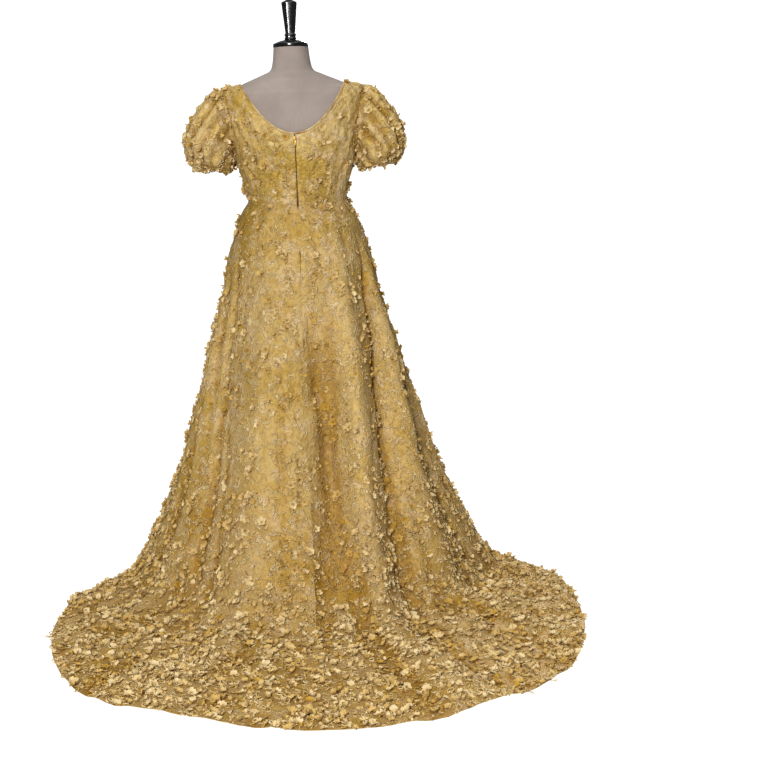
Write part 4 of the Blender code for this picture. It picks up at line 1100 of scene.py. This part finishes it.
# ---- bodice ---------------------------------------------------------------------------------------------
def neckline_place(angle, drop):
    """Height at which a ray of the form's surface at that angle meets the neckline."""
    low = np.full(np.shape(angle), SHOULDER_NECK[1] - drop)
    high = np.full(np.shape(angle), SHOULDER_NECK[1])
    for _ in range(36):
        middle = (low + high) / 2
        share = np.abs(form_point(angle, middle)[..., 0]) / SHOULDER_NECK[0]
        above = SHOULDER_NECK[1] - drop + drop * share**NECKLINE_CURVE > middle
        low, high = np.where(above, middle, low), np.where(above, high, middle)
    return (low + high) / 2


def bodice_edges(row, front):
    """Angle and height of the middle and neckline, and of the side and armhole, from the waist (row 0) up."""
    turn, drop = (-1, FRONT_NECK_DROP) if front else (1, BACK_NECK_DROP)
    seam_top = BAND_HEIGHT + SEAM_GAP / 2
    neck_angle = Curve(range(len(NECK_ANGLES)), NECK_ANGLES)(row - NECK_ROW)
    rising = mix(waist_seam(turn * 90.0) + seam_top, SHOULDER_NECK[1] - drop, row / NECK_ROW)
    middle_height = np.where(row <= NECK_ROW, rising, neckline_place(turn * neck_angle, drop))
    share = np.clip((row - ARM_ROW) / (BODICE_ROWS - ARM_ROW), 0, 1)
    scoop = ARMHOLE_SCOOP * np.maximum(np.sin(np.pi * share), 0) ** 0.6
    side = mix(waist_seam(0.0) + seam_top, UNDERARM, row / ARM_ROW)
    side_height = np.where(row <= ARM_ROW, side, mix(UNDERARM, SHOULDER_TIP[1], share**0.85))
    return turn, neck_angle, middle_height, scoop, side_height


def half_bodice(front, share, row):
    """Angle and height of a place on the half at +X, from the middle (share 0) to the side."""
    turn, middle_angle, middle_height, side_angle, side_height = bodice_edges(row, front)
    angle = turn * mix(middle_angle, side_angle, share)
    height = mix(middle_height, side_height, share)
    straight = mix(waist_seam(turn * 90.0), waist_seam(0.0), 1 - np.abs(angle) / 90.0)
    return angle, height + (waist_seam(angle) - straight) * np.clip(1 - row / NECK_ROW, 0, 1)


def drag_lines(angle, height):
    """Soft drag lines of the back, from the armhole down towards the middle of the waist."""
    up = height - DRAG_BOTTOM
    fade = smooth(up / 0.04) * smooth((DRAG_TOP - height) / 0.05) * smooth((88 - angle) / 12)
    fade = fade * smooth((angle - 25) / 6)
    return DRAG_HEIGHT * fade * (1 + cosine((angle + up * 160) * 20))


def parted(points, side):
    """The points drawn back from the middle of the back, where the two edges stand apart."""
    gap = PARTING_CURVE(points[..., 2])
    away = side * points[..., 0]
    points[..., 0] = side * (away + gap * np.clip(1 - away / PARTING_REACH, 0, 1) ** 2)
    points[..., 1] -= PARTING_DIP * np.exp(-((away / PARTING_DIP_WIDTH) ** 2))
    return points


def bodice_back(side):
    def surface(across, along):
        share = 1 - across if side > 0 else across
        angle, height = half_bodice(False, share, along * BODICE_ROWS)
        points = body_point(angle, height, CLOTH + drag_lines(angle, height)) * (side, 1, 1)
        points[..., 1] += SEAM_GAP / 2 * share
        return parted(points, side)

    return surface


def bodice_front(across, along):
    """The front, with an empty column in its middle, which only opens above the neckline."""
    beside = across * 2 - 1
    empty = 1 / FRONT_COLUMNS
    share = np.clip((np.abs(beside) - empty) / (1 - empty), 0, 1)
    angle, height = half_bodice(True, share, along * BODICE_ROWS)
    points = body_point(angle, height, np.full(across.shape, CLOTH))
    apart = (share > 0) | (along * BODICE_ROWS > NECK_ROW)
    points[..., 0] = np.abs(points[..., 0]) * np.sign(beside) * apart
    points[..., 1] -= SEAM_GAP / 2 * share
    return points


def neck_line():
    """The bodice's edge round the neck, from the right of the centre back over the front to the left of it:
    its places, and the directions out of the cloth and into the neck."""
    rows = np.linspace(NECK_ROW, BODICE_ROWS, 46)
    places, outs = [], []
    for front in (True, False):
        angle, height = half_bodice(front, 0.0, rows if front else rows[::-1][1:])
        places.append(body_point(angle, height))
        outs.append(form_normal(angle, height))
    place, out = np.concatenate(places), np.concatenate(outs)
    place = parted(place, 1)
    place[0, 0] = 0.0
    place = np.concatenate((place[::-1] * (-1, 1, 1), place[1:]))
    out = np.concatenate((out[::-1] * (-1, 1, 1), out[1:]))
    into = unit(np.cross(np.gradient(place, axis=0), out))
    into *= np.sign(into[:, 2:3])
    into[[0, -1], 0] = 0.0
    return place, out, into


def run_along(line):
    """How far along a line each of its points lies."""
    return np.concatenate(([0], np.cumsum(np.linalg.norm(np.diff(line, axis=0), axis=1))))


def evenly(line, gap, *others):
    """Points every gap along a line, and other rows of directions read there."""
    run = run_along(line)
    at = np.arange(gap / 2, run[-1], gap)
    return [np.stack([np.interp(at, run, rows[:, k]) for k in range(3)], -1) for rows in (line, *others)]


def sewn_run(chance, line, out, gap):
    """Spots for stitches along a line on the cloth."""
    place, up = evenly(line, gap, out)
    return Spots(place, unit(up), chance, np.gradient(place, axis=0))


def sewn_row(chance, sheet, row, gap):
    """Spots for stitches along one row of a sheet."""
    out = sheet.normals()[row]
    return sewn_run(chance, sheet.points[row] + out * THREAD_STAND, out, gap)


def make_neck_binding(chance):
    """The smooth rolled edge of the neck and the stitches that hold it."""
    place, out, into = neck_line()

    def surface(across, along):
        turn = across * math.tau
        depth = mix(SEAM_GAP, BINDING, 0.5 - 0.5 * np.cos(turn))
        stand = BINDING_THICK * (0.54 + 0.46 * np.sin(turn))
        row = np.round(along * (len(place) - 1)).astype(int)
        return place[row] + into[row] * depth[..., None] + out[row] * stand[..., None]

    middle = (place + into * BINDING / 2 + out * BINDING_THICK / 2)[:, None]
    sheet = Sheet(surface, 12, len(place) - 1, middle, closed=True)
    roll = cloth_piece("neck_binding_satin", sheet, PLAIN_SATIN, "neck_binding",
                       (0.012, 1.12), bare, thick=0, filled=True)
    line = place - into * 0.0016 + out * (CLOTH + 0.0002)
    return sewn_run(chance, line, out, 0.0062)


def bare(sheet):
    return np.zeros(sheet.across.shape)


def laced(amount):
    """A rule that gives a whole sheet the same richness of lace."""
    return lambda sheet: np.full(sheet.across.shape, amount)


def clear_of_zip(points):
    """0 close to the middle of the back down to the zip's foot, 1 elsewhere."""
    near = (np.abs(points[..., 0]) < 0.020) & (points[..., 1] > 0) & (points[..., 2] > ZIP_END + 0.02)
    return np.where(near, 0.0, 1.0)


# How near each other those of one shape may lie.
APART = {"blossom": 0.011, "open_blossom": 0.013, "rosette": 0.009, "ring": 0.009, "wide_petal": 0.030}
# How many of each shape a square metre where the cloth is thinly sewn, and where it is thickly sewn.
SEWN = {
    "blossom": (220, 900), "open_blossom": (80, 220), "rosette": (220, 860), "petal": (90, 200),
    "curl": (200, 260), "crumb": (380, 420), "ring": (60, 1540), "scroll": (700, 900), "bud": (330, 420),
    "bead": (400, 600), "wide_petal": (14, 190),
}
SEWN_PALENESS = (0.80, 1.05)  # their tints' share where they are thinly sewn, and where they are thickly sewn
CLUMP_WAVES = 9
CLUMP_FINENESS = 42.0
CLUMP_UNEVENNESS = 0.34
CLUMP_LEAST, CLUMP_MOST = 0.12, 2.2


def clumps(points):
    """Uneven amounts, with bare patches and crowded ones."""
    wave = np.random.RandomState(CLUMP_SEED)
    total = 0.0
    for _ in range(CLUMP_WAVES):
        direction = wave.normal(size=3) * CLUMP_FINENESS
        total = total + np.sin(points @ direction + wave.uniform(0, math.tau))
    return np.clip(1 + CLUMP_UNEVENNESS * total, CLUMP_LEAST, CLUMP_MOST)


def dress(name, sheet, chance, thickly):
    """Sews blossoms, petals, cords and beads all over a sheet. thickly gives 0 where they are thinly sewn
    and 1 where they are thickly sewn."""
    groups = []
    for shape, (thin, thick) in SEWN.items():
        amount = sewing_density(thin, thick, thickly)
        spots = sheet.spots(chance, amount, APART.get(shape, 0))
        if spots is not None:
            groups.append(copies(shape, spots, mix(*SEWN_PALENESS, thickly(spots.place))))
    return sewn_on(name, groups, PETAL)


def sewing_density(thin, thick, thickly):
    """How many of a shape go on a square metre at each place."""

    def amount(points):
        share = thickly(points)
        return mix(thin, thick, share) * clear_of_zip(points) * mix(clumps(points), 1.0, share / 2)

    return amount


def thick_low_on_sleeve(points):
    return 1 - smooth((points[..., 2] - 1.19) / 0.12)


def thick_on_train(points):
    return 1 - smooth((points[..., 2] - 0.02) / 0.38)


def thick_near_front_hem(points):
    return 0.6 * thick_on_train(points)


def thick_on_bodice(points):
    return np.full(points.shape[:-1], 0.05)


BODICE_PIECES = (
    # node, side, flat_width, the share of its rectangle that is cut as cloth
    ("bodice_back_left", 1, 0.212, 0.72),
    ("bodice_back_right", -1, 0.212, 0.72),
    ("bodice_front", 0, 0.460, 0.70),
)


def make_bodice(chance):
    """The two halves of the bodice's back, and its front."""
    for node, side, width, cut in BODICE_PIECES:
        if side:
            sheet = Sheet(bodice_back(side), BACK_COLUMNS, BODICE_GRID_ROWS)
        else:
            slit = BODICE_GRID_ROWS * NECK_ROW // BODICE_ROWS
            sheet = Sheet(bodice_front, FRONT_COLUMNS, BODICE_GRID_ROWS, slit=slit)
        sheet.creases(BODICE_CREASES if side else FRONT_CREASES)
        beside_zip = smooth((np.abs(sheet.points[..., 0]) - 0.004) / 0.020) if side else 1.0
        sheet.crumple(chance, 0.030, 0.0014 * beside_zip)
        sheet.crumple(chance, 0.015, 0.0008 * beside_zip)
        sheet.held_up(0.0030)
        sewn = dress(node + "_blossoms", sheet, chance, thick_on_bodice)
        weave = (width * 0.94, 0.29)
        piece = cloth_piece(node + "_satin", sheet, SATIN, node, weave, laced(0.45))


def make_waistband(chance):
    """The waistband, which parts at the centre back, and the two rows of stitches along it."""

    def surface(across, along):
        angle = mix(-270.0, 90.0, across)
        height = waist_seam(angle) + mix(SEAM_GAP / 2, BAND_HEIGHT - SEAM_GAP / 2, along)
        points = body_point(angle, height, CLOTH + 0.0006 * np.sin(np.pi * along))
        side = np.where(across > 0.5, 1.0, -1.0)
        return parted(points, side)

    sheet = Sheet(surface, 240, 10)
    sheet.crumple(chance, 0.020, 0.0003)
    sewn = dress("waistband_blossoms", sheet, chance, thick_on_bodice)
    weave = (0.80, BAND_HEIGHT)
    piece = cloth_piece("waistband_satin", sheet, SATIN, "waistband", weave, laced(0.7))
    return [sewn_row(chance, sheet, row, 0.0055) for row in (1, -2)]


# ---- sleeves --------------------------------------------------------------------------------------------
CUFF_LEVEL = len(SLEEVE_RINGS) + 1  # the armhole is level 0
HEAD_GATHERS = 0.0115  # how deep the deepest ones are
CUFF_GATHERS = 0.0065
SLEEVE_STANDS = (0.0006, 0.0052)  # how far its first two lines stand off the form


def armhole():
    """The armhole's edge at +X, from the shoulder down the back and up the front, and directions there."""
    down, up = np.linspace(BODICE_ROWS, ARM_ROW, 60), np.linspace(ARM_ROW, BODICE_ROWS, 60)[1:-1]
    places, outs = [], []
    for front, rows in ((False, down), (True, up)):
        angle, height = half_bodice(front, 1.0, rows)
        places.append(body_point(angle, height))
        outs.append(form_normal(angle, height))
    place, out = np.concatenate(places), np.concatenate(outs)
    into = place.mean(axis=0) - place
    return place, out, unit(into - out * np.sum(into * out, axis=1, keepdims=True))


def puff(side):
    """A sleeve's surface from the armhole (along 0) to the cuff (along 1)."""
    place, out, into = armhole()
    run = run_along(np.vstack((place, place[:1])))
    run /= run[-1]
    rings = np.array(SLEEVE_RINGS)

    def surface(across, along):
        share = across[0]

        def round_it(rows):
            return np.stack([np.interp(share, run, np.append(rows[:, k], rows[0, k])) for k in range(3)], -1)

        edge, up, inner = round_it(place), unit(round_it(out)), unit(round_it(into))
        start = edge + inner * SEAM_GAP * 2
        levels = [start + up * stand for stand in SLEEVE_STANDS]
        turn = share * math.tau
        for top_x, top_z, low_x, low_z, half_depth in rings:
            c, s = np.cos(turn), np.sin(turn)
            x = (top_x + low_x) / 2 + (top_x - low_x) / 2 * c
            z = (top_z + low_z) / 2 + (top_z - low_z) / 2 * c
            levels.append(stacked(x, half_depth * np.sign(s) * np.abs(s) ** 0.9, z))
        return Curve(range(len(levels)), levels)(along[:, 0] * (len(levels) - 1)) * (side, 1, 1)

    return surface


def make_sleeve(side, chance):
    """A puffed sleeve, gathered into its armhole and its band."""
    name = "left" if side > 0 else "right"
    middle = np.array((side * 0.235, 0.0, 1.255))
    sheet = Sheet(puff(side), 144, 60, middle, closed=True)
    level = sheet.along * CUFF_LEVEL
    turn = sheet.across * math.tau
    fullness = np.sin(np.pi * np.clip((level - 1.2) / (len(SLEEVE_RINGS) + 0.3), 0, 1))
    over = mix(0.15, 1.0, smooth(0.5 + 0.5 * np.cos(turn)))
    ends = smooth((level - 1) / 1.2) * smooth((CUFF_LEVEL - level) / 0.8)
    gathers = GATHER_HEIGHT * (0.35 + 0.65 * fullness) * over * np.cos(turn * SLEEVE_GATHERS)
    sheet.push(ends * (CLOTH / 2 + gathers))
    gathered(sheet, chance, level)
    sheet.crumple(chance, 0.034, 0.0018)
    node = f"sleeve_{name}"
    sewn = dress(node + "_blossoms", sheet, chance, thick_low_on_sleeve)
    piece = cloth_piece(node + "_satin", sheet, SATIN, node, (0.55, 0.26), laced(0.5))
    make_sleeve_band(side, name)


def gathered(sheet, chance, level):
    """Uneven gathers that run out from the armhole and from the cuff, deepest at the shoulder."""
    count = SLEEVE_GATHERS
    head, cuff = np.zeros(sheet.across.shape), np.zeros(sheet.across.shape)
    for k in range(count):
        for total, deepest in ((head, HEAD_GATHERS), (cuff, CUFF_GATHERS)):
            at = (k + 0.5 + chance.uniform(-0.16, 0.16)) / count
            away = np.abs(sheet.across - at)
            away = np.minimum(away, 1 - away)
            total += chance.uniform(0.35, 1.0) * deepest * np.exp(-((away * count / 0.27) ** 2))
    top = 0.45 + 0.55 * smooth(0.5 + 0.5 * np.cos(sheet.across * math.tau))
    from_head = smooth((level - 0.6) / 0.9) * (1 - smooth((level - 2.8) / 4.0))
    from_cuff = smooth((level - 6.0) / 1.8) * smooth((CUFF_LEVEL - level) / 0.7)
    sheet.push(-head * top * from_head - cuff * from_cuff)


def make_sleeve_band(side, name):
    """The narrow band inside the puff's lower edge."""
    top_x, top_z, low_x, low_z, half_depth = SLEEVE_RINGS[-1]
    middle = np.array(((top_x + low_x) / 2, 0, (top_z + low_z) / 2))
    half = np.array(((top_x - low_x) / 2, 0, (top_z - low_z) / 2))
    up = unit(np.array((-half[2], 0, half[0])))

    def surface(across, along):
        turn = across * math.tau
        direction = np.cos(turn)[..., None] * half + np.sin(turn)[..., None] * (0, half_depth, 0)
        length = np.linalg.norm(direction, axis=-1, keepdims=True)
        reach = length - CLOTH / 2 - SEAM_GAP * 1.3
        return (middle + up * along[..., None] * CUFF_BAND + direction / length * reach) * (side, 1, 1)

    sheet = Sheet(surface, 72, 5, middle * (side, 1, 1), closed=True)
    band = cloth_piece(f"sleeve_band_{name}_satin", sheet, PLAIN_SATIN, f"sleeve_band_{name}",
                       (0.24, CUFF_BAND), bare, thick=0.0015)


# ---- skirt ----------------------------------------------------------------------------------------------
def hem_point(angle):
    """Where the skirt ends on the floor."""
    c, s = cosine(angle), sine(angle)
    front = 1 / np.sqrt((c / HEM_REACH[0][1]) ** 2 + (s / FRONT_REACH) ** 2)
    reach = np.where(s >= 0, HEM_CURVE(angle), front)
    return stacked(reach * c, reach * s, 0.0)


def touch_point(angle):
    """Where the skirt comes down to the floor."""
    c, s = cosine(angle), sine(angle)
    reach = 1 / np.sqrt((c / SIDE_REACH) ** 2 + (s / np.where(s > 0, TOUCH_BACK, FRONT_REACH)) ** 2)
    return stacked(reach * c, reach * s, 0.0)


def flared(top, touch, down):
    """Points of the skirt's hanging part."""
    out = FLARE_CURVE(down)[..., None]
    flat = mix(top[..., :2], touch[..., :2], out)
    return np.concatenate((flat, mix(top[..., 2:], touch[..., 2:], down[..., None])), axis=-1)


def skirt_line(angle, share):
    """The skirt without its folds, from the waist (0) down to the floor and along it to the hem (1)."""
    top = body_point(angle, waist_seam(angle) - SEAM_GAP / 2)
    touch, hem = touch_point(angle), hem_point(angle)
    slope = np.linalg.norm(touch - top, axis=-1)
    floor = np.linalg.norm(hem - touch, axis=-1)
    bend = np.minimum(mix(BEND_LEFT, BEND_RIGHT, smooth(angle / 180)), 0.9 * floor)
    at = share * (slope + floor)
    hanging = flared(top, touch, np.clip(at / slope, 0, 1))
    lying = mix(touch, hem, np.clip((at - slope) / np.maximum(floor, 1e-6), 0, 1)[..., None])
    t = np.clip((at - slope + bend) / (2 * np.maximum(bend, 1e-9)), 0, 1)[..., None]
    start = flared(top, touch, 1 - bend / slope)
    end = mix(touch, hem, (bend / np.maximum(floor, 1e-6))[..., None])
    curved = start * (1 - t) ** 2 + touch * 2 * t * (1 - t) + end * t * t
    lies = (at > slope + bend) | (floor < 1e-6)
    return np.where((at < slope - bend)[..., None], hanging, np.where(lies[..., None], lying, curved))


def line_angle(at_floor, share):
    """The angle round the body, a share of the way down, of the line of cloth that ends at a floor angle."""
    from_side = np.minimum(at_floor, 180 - at_floor)
    there = mix(PATH_CURVE(from_side), from_side, smooth(share / FOLD_PATH_END))
    turned = np.where(at_floor <= 90, there, 180 - there)
    return np.where((at_floor <= 0) | (at_floor >= 180), at_floor, turned)


def fold_height(at_floor, share):
    """How far the folds lift the cloth there."""
    wave = 0.5 + 0.5 * cosine((at_floor - 270) * 2 * FRONT_FOLD_COUNT)
    front = FRONT_FOLD_HEIGHT * wave * smooth(3 * sine(at_floor) ** 2)
    front = front * smooth((share - 0.02) / FRONT_FOLD_RISE)
    back = np.zeros(np.shape(at_floor))
    upper = np.clip(1 - share / FOLD_LEAN_END, 0, 1) ** 1.3
    for ridge, lean, half_width, height, start in BACK_FOLDS:
        away = (at_floor - ridge - lean * upper) / half_width
        back = back + height * np.exp(-FOLD_SHARPNESS * away * away) * smooth((share - start) / FOLD_RISE)
    back = back * smooth(np.minimum(at_floor, 180 - at_floor) / 7)
    return np.where(at_floor < 0, front, back)


SKIRT_PANELS = (
    # node, start and end angle, columns, rows, flat size, area
    ("skirt_back_left", 0.0, 90.0, 104, 150, (1.30, 1.78), 1.30),
    ("skirt_back_right", 90.0, 180.0, 104, 150, (1.30, 1.78), 1.30),
    ("skirt_front", -180.0, 0.0, 132, 90, (1.55, 1.20), 1.20),
)
FLUTES = 26


def make_skirt_panel(chance, node, start, end, columns, rows, flat, area):
    """One panel of the skirt, from the hem (along 0) up to the waist. Gives its hem's stitches."""

    def surface(across, along):
        return skirt_line(line_angle(mix(start, end, across), 1 - along), 1 - along)

    sheet = Sheet(surface, columns, rows)
    share, at_floor = 1 - sheet.along, mix(start, end, sheet.across)
    lying = smooth(sheet.normals()[..., 2])
    lift = fold_height(at_floor, share)
    sheet.push(mix(lift, np.maximum(0.0, lift) * 0.45, lying) * (share > 0))
    sheet.points[..., 2] = np.maximum(sheet.points[..., 2], 0.0)
    sheet.push(CLOTH)
    if start >= 0:
        sheet.creases(SKIRT_CREASES)
        sheet.creases(TRAIN_CREASES, up=1)
    pleated(sheet, chance, share, lying)
    sheet.crumple(np.random.RandomState(CRUMPLE_SEED), 0.050, 0.0014)
    billow(sheet, lying)
    points = sheet.points
    points[..., 2] = np.maximum(points[..., 2], CLOTH)
    if start >= 0:
        side = 1 if start < 45 else -1
        gap = PARTING_CURVE(points[..., 2])
        points[..., 0] = side * np.maximum(side * points[..., 0], gap)
        middle, seam = (-1, 0) if side > 0 else (0, -1)
        points[:, middle, 0] = side * gap[:, middle]
        points[:, seam, 1] = SEAM_GAP / 2
    else:
        points[:, (0, -1), 1] = -SEAM_GAP / 2
    sewn = dress(node + "_blossoms", sheet, chance, thick_on_train if start >= 0 else thick_near_front_hem)
    piece = cloth_piece(node + "_satin", sheet, SATIN, node, flat, skirt_lace)
    return sewn_row(chance, sheet, HEM_STITCH_ROW, 0.009)


def skirt_lace(sheet):
    """Lace that thickens from the waist down to the train."""
    return mix(0.8, 1.0, 1 - smooth((sheet.points[..., 2] - 0.03) / 0.40))


def billow(sheet, lying):
    """Soft swells of the cloth that lies on the floor, which lift its hem a little here and there."""
    before = sheet.points
    sheet.crumple(np.random.RandomState(BILLOW_SEED), 0.150, 0.0050)
    sheet.points = mix(before, sheet.points, smooth(lying * 1.6 - 0.6)[..., None])


def pleated(sheet, chance, share, lying):
    """Slight uneven flutes that run down the cloth between its large folds, and lie soft on the train."""
    total = np.zeros(sheet.across.shape)
    for _ in range(FLUTES):
        at, width = chance.uniform(0.02, 0.98), chance.uniform(0.006, 0.018)
        top, bottom = sorted(chance.uniform(0.0, 1.0, 2))
        drift = chance.uniform(-0.03, 0.03)
        away = (sheet.across - at - drift * (share - top)) / width
        fade = smooth((share - top) / 0.12) * smooth((bottom + 0.25 - share) / 0.16)
        total += chance.uniform(-0.0042, 0.0030) * np.exp(-(away**2)) * fade
    beside = smooth(np.minimum(sheet.across, 1 - sheet.across) / 0.03)
    sheet.push(total * beside * mix(1.0, 0.8, lying) * smooth(share / 0.05))


# ---- zip ------------------------------------------------------------------------------------------------
def painted(node, finish):
    """Gives its finish to a hard node that shows as it is."""
    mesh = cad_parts[node].data
    mesh.materials.clear()
    mesh.materials.append(finish)


def rounded_edges(made, degrees, width, segments):
    """Bevels the edges that are sharper than that."""
    edges = [edge for edge in made.edges if edge.calc_face_angle(0.0) > math.radians(degrees)]
    bmesh.ops.bevel(made, geom=edges, offset=width, offset_type="OFFSET", affect="EDGES", segments=segments,
                    profile=0.5, material=-1, clamp_overlap=True)


def refined(node, name, finish, body, width, segments=2, sharp_degrees=30.0):
    """A copy of a hard node with its edges rounded."""
    made = bmesh.new()
    made.from_mesh(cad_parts[node].data)
    bmesh.ops.remove_doubles(made, verts=made.verts, dist=TOUCHING)
    bmesh.ops.dissolve_limit(made, angle_limit=math.radians(1.0), verts=made.verts, edges=made.edges)
    rounded_edges(made, sharp_degrees, width, segments)
    piece = finished(name, mesh_of(name, made, 50.0), finish, body)
    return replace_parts(piece, node)


def make_zip(chance):
    """The tape, the teeth in the parting, the slider and its pull."""
    painted("zip_tape", TAPE)
    share = np.linspace(0, 1, 200)
    down = skirt_line(np.full(200, 90.0), share)
    down[..., 1] += fold_height(np.full(200, 90.0), share) * 0.9
    heights = np.linspace(SHOULDER_NECK[1] - BACK_NECK_DROP - 0.016, WAIST_SEAM_BACK, 60)
    line = np.concatenate((body_point(np.full(60, 90.0), heights), down[down[:, 2] > ZIP_END + 0.01][1:]))
    line[:, 1] -= TAPE_BEHIND
    place, = evenly(line, 0.0021)
    up, along = (np.tile(way, (len(place), 1)) for way in ((0.0, 1.0, 0.12), (1.0, 0.0, 0.0)))
    teeth = Spots(place, up, chance, along)
    sewn_on("zip_teeth", [copies("tooth", teeth)], ZIP_BRASS)
    refined("zip_slider", "zip_slider_brass", ZIP_BRASS, "gown_on_form", 0.00030)
    refined("zip_pull", "zip_pull_brass", ZIP_BRASS, "pull", 0.00022)


# ---- dress form -----------------------------------------------------------------------------------------
def make_form():
    """The linen-covered torso, its lacquered neck cap and finial, and the stand."""
    heights = np.array([row[0] for row in FORM_SECTIONS])
    level = Curve(range(len(heights)), heights)

    def surface(across, along):
        return form_point(across * 360.0, level(along * (len(heights) - 1)))

    sheet = Sheet(surface, 108, 90, np.array((0, 0, 1.1)), closed=True)
    cloth_piece("form_torso_linen", sheet, LINEN, "form_torso", (0.95, 0.80), bare, thick=0,
                filled=True)
    lean, seat = FORM_SECTIONS[-1][4], NECK_TOP + SEAM_GAP
    made = bmesh.new()
    profile = [made.verts.new((radius, 0, height)) for radius, height in NECK_CAP]
    edges = [made.edges.new(pair) for pair in zip(profile, profile[1:])]
    bmesh.ops.spin(made, geom=profile + edges, cent=(0, 0, 0), axis=(0, 0, 1), dvec=(0, 0, 0), angle=math.tau,
                   steps=72, use_merge=True, use_duplicate=False)
    bmesh.ops.remove_doubles(made, verts=made.verts, dist=TOUCHING)
    bmesh.ops.holes_fill(made, edges=[edge for edge in made.edges if edge.is_boundary])
    bmesh.ops.recalc_face_normals(made, faces=made.faces)
    rounded_edges(made, 24, 0.0007, 3)
    bmesh.ops.translate(made, verts=made.verts, vec=(0, lean, seat))
    name = "form_neck_cap_lacquer"
    cap = finished(name, mesh_of(name, made, 50.0), LACQUER)
    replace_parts(cap, "form_neck_cap")
    refined("form_finial", "form_finial_lacquer", LACQUER, "gown_on_form", 0.00060, 3, 18.0)
    for node in ("form_pole", "form_base"):
        painted(node, STEEL)


# ---- studio ---------------------------------------------------------------------------------------------
CAMERA_PLACE = Vector((0.0172, 3.9401, 1.214))
CAMERA_PITCH = 9.9013  # degrees down
CAMERA_YAW = -3.5581
CAMERA_ROLL = -1.8783
CAMERA_LENS = 64.71
SENSOR = 36.0
FLOOR_MIDDLE = (0.0, 0.42, -0.0006)
FLOOR_REACH = 1.65
GLOW_FROM, GLOW_TO = 0.30, 0.47  # shares of the floor's reach
SURROUND_LIGHT = 0.20
LAMPS = (
    # name, place, target, size, watts
    ("key", (0.75, 4.4, 2.1), (0, 0.3, 0.75), 0.9, 148.0),
    ("behind", (-0.9, -4.2, 2.0), (0, 0.0, 0.8), 1.6, 84.0),
    ("above", (0.0, 0.6, 4.2), (0, 0.5, 0.0), 3.4, 60.0),
)


def make_camera():
    """The camera, turned about its own line of sight last."""
    pitch, yaw, roll = (math.radians(a) for a in (CAMERA_PITCH, CAMERA_YAW, CAMERA_ROLL))
    ahead = Vector((math.sin(yaw) * math.cos(pitch), -math.cos(yaw) * math.cos(pitch), -math.sin(pitch)))
    right = ahead.cross(Vector((0, 0, 1))).normalized()
    up = right.cross(ahead)
    level = Matrix((right, up, -ahead)).transposed()
    camera = bpy.data.objects.new("camera", bpy.data.cameras.new("camera"))
    camera.data.sensor_width, camera.data.lens = SENSOR, CAMERA_LENS
    camera.data.clip_end = 60.0
    camera.matrix_world = Matrix.Translation(CAMERA_PLACE) @ (level @ Matrix.Rotation(roll, 3, "Z")).to_4x4()
    bpy.context.scene.collection.objects.link(camera)
    bpy.context.scene.camera = camera


def add_light(name, place, target, size, watts):
    """A round lamp that faces its target."""
    lamp = bpy.data.lights.new(name, "AREA")
    lamp.shape, lamp.size, lamp.energy = "DISK", size, watts
    light = bpy.data.objects.new(name, lamp)
    light.location = place
    light.rotation_euler = (Vector(target) - Vector(place)).to_track_quat("-Z", "Y").to_euler()
    bpy.context.scene.collection.objects.link(light)


def make_studio():
    """A pale floor that fades into a white surround, a soft lamp before the gown's back, one before its
    front and one above."""
    made = bmesh.new()
    bmesh.ops.create_circle(made, cap_ends=True, segments=96, radius=FLOOR_REACH)
    bmesh.ops.translate(made, verts=made.verts, vec=FLOOR_MIDDLE)
    floor = bpy.data.objects.new("floor", mesh_of("floor", made))
    bpy.context.scene.collection.objects.link(floor)
    floor.data.materials.append(floor_finish())
    make_surround()
    for lamp in LAMPS:
        add_light(*lamp)
    bpy.context.scene.view_settings.view_transform = "Standard"
    bpy.context.scene.view_settings.look = "Medium High Contrast"


def floor_finish():
    """White paper that glows where it is far away, so that it meets the surround with no edge."""
    paper = Finish("floor_paper", {"Roughness": 0.9, "Specular IOR Level": 0.1, "Emission Strength": 1.0})
    at = paper.place()
    away = paper.node("ShaderNodeVectorMath", {"operation": "DISTANCE"}, {0: at, 1: FLOOR_MIDDLE}, output=1)
    away = away.rising(GLOW_FROM * FLOOR_REACH, GLOW_TO * FLOOR_REACH)
    near = paper.mix(colour(248, 248, 248), colour(251, 251, 250), paper.noise(at, 3.0))
    paper.feed("Base Color", paper.mix(near, BLACK, away))
    paper.feed("Emission Color", paper.mix(BLACK, WHITE, away))
    return paper.material


def make_surround():
    """A white surround, which lights the gown less than it shows."""
    world = bpy.data.worlds.new("studio")
    bpy.context.scene.world = world
    world.use_nodes = True
    tree = world.node_tree
    shown = tree.nodes["Background"]
    shown.inputs["Color"].default_value = WHITE
    shown.inputs["Strength"].default_value = 1.0
    light = tree.nodes.new("ShaderNodeBackground")
    light.inputs["Color"].default_value = WHITE
    light.inputs["Strength"].default_value = SURROUND_LIGHT
    seen = tree.nodes.new("ShaderNodeLightPath").outputs["Is Camera Ray"]
    choice = tree.nodes.new("ShaderNodeMixShader")
    tree.links.new(seen, choice.inputs[0])
    tree.links.new(light.outputs[0], choice.inputs[1])
    tree.links.new(shown.outputs[0], choice.inputs[2])
    tree.links.new(choice.outputs[0], tree.nodes["World Output"].inputs["Surface"])


# ---- the whole ------------------------------------------------------------------------------------------
def main():
    chance = np.random.RandomState(SEWING_SEED)
    make_camera()
    make_studio()
    make_form()
    make_bodice(chance)
    runs = [make_neck_binding(chance)]
    runs += make_waistband(chance)
    for side in (1, -1):
        make_sleeve(side, chance)
    runs += [make_skirt_panel(chance, *panel) for panel in SKIRT_PANELS]
    sewn_on("stitches", [copies("stitch", run) for run in runs], THREAD)
    make_zip(chance)


main()
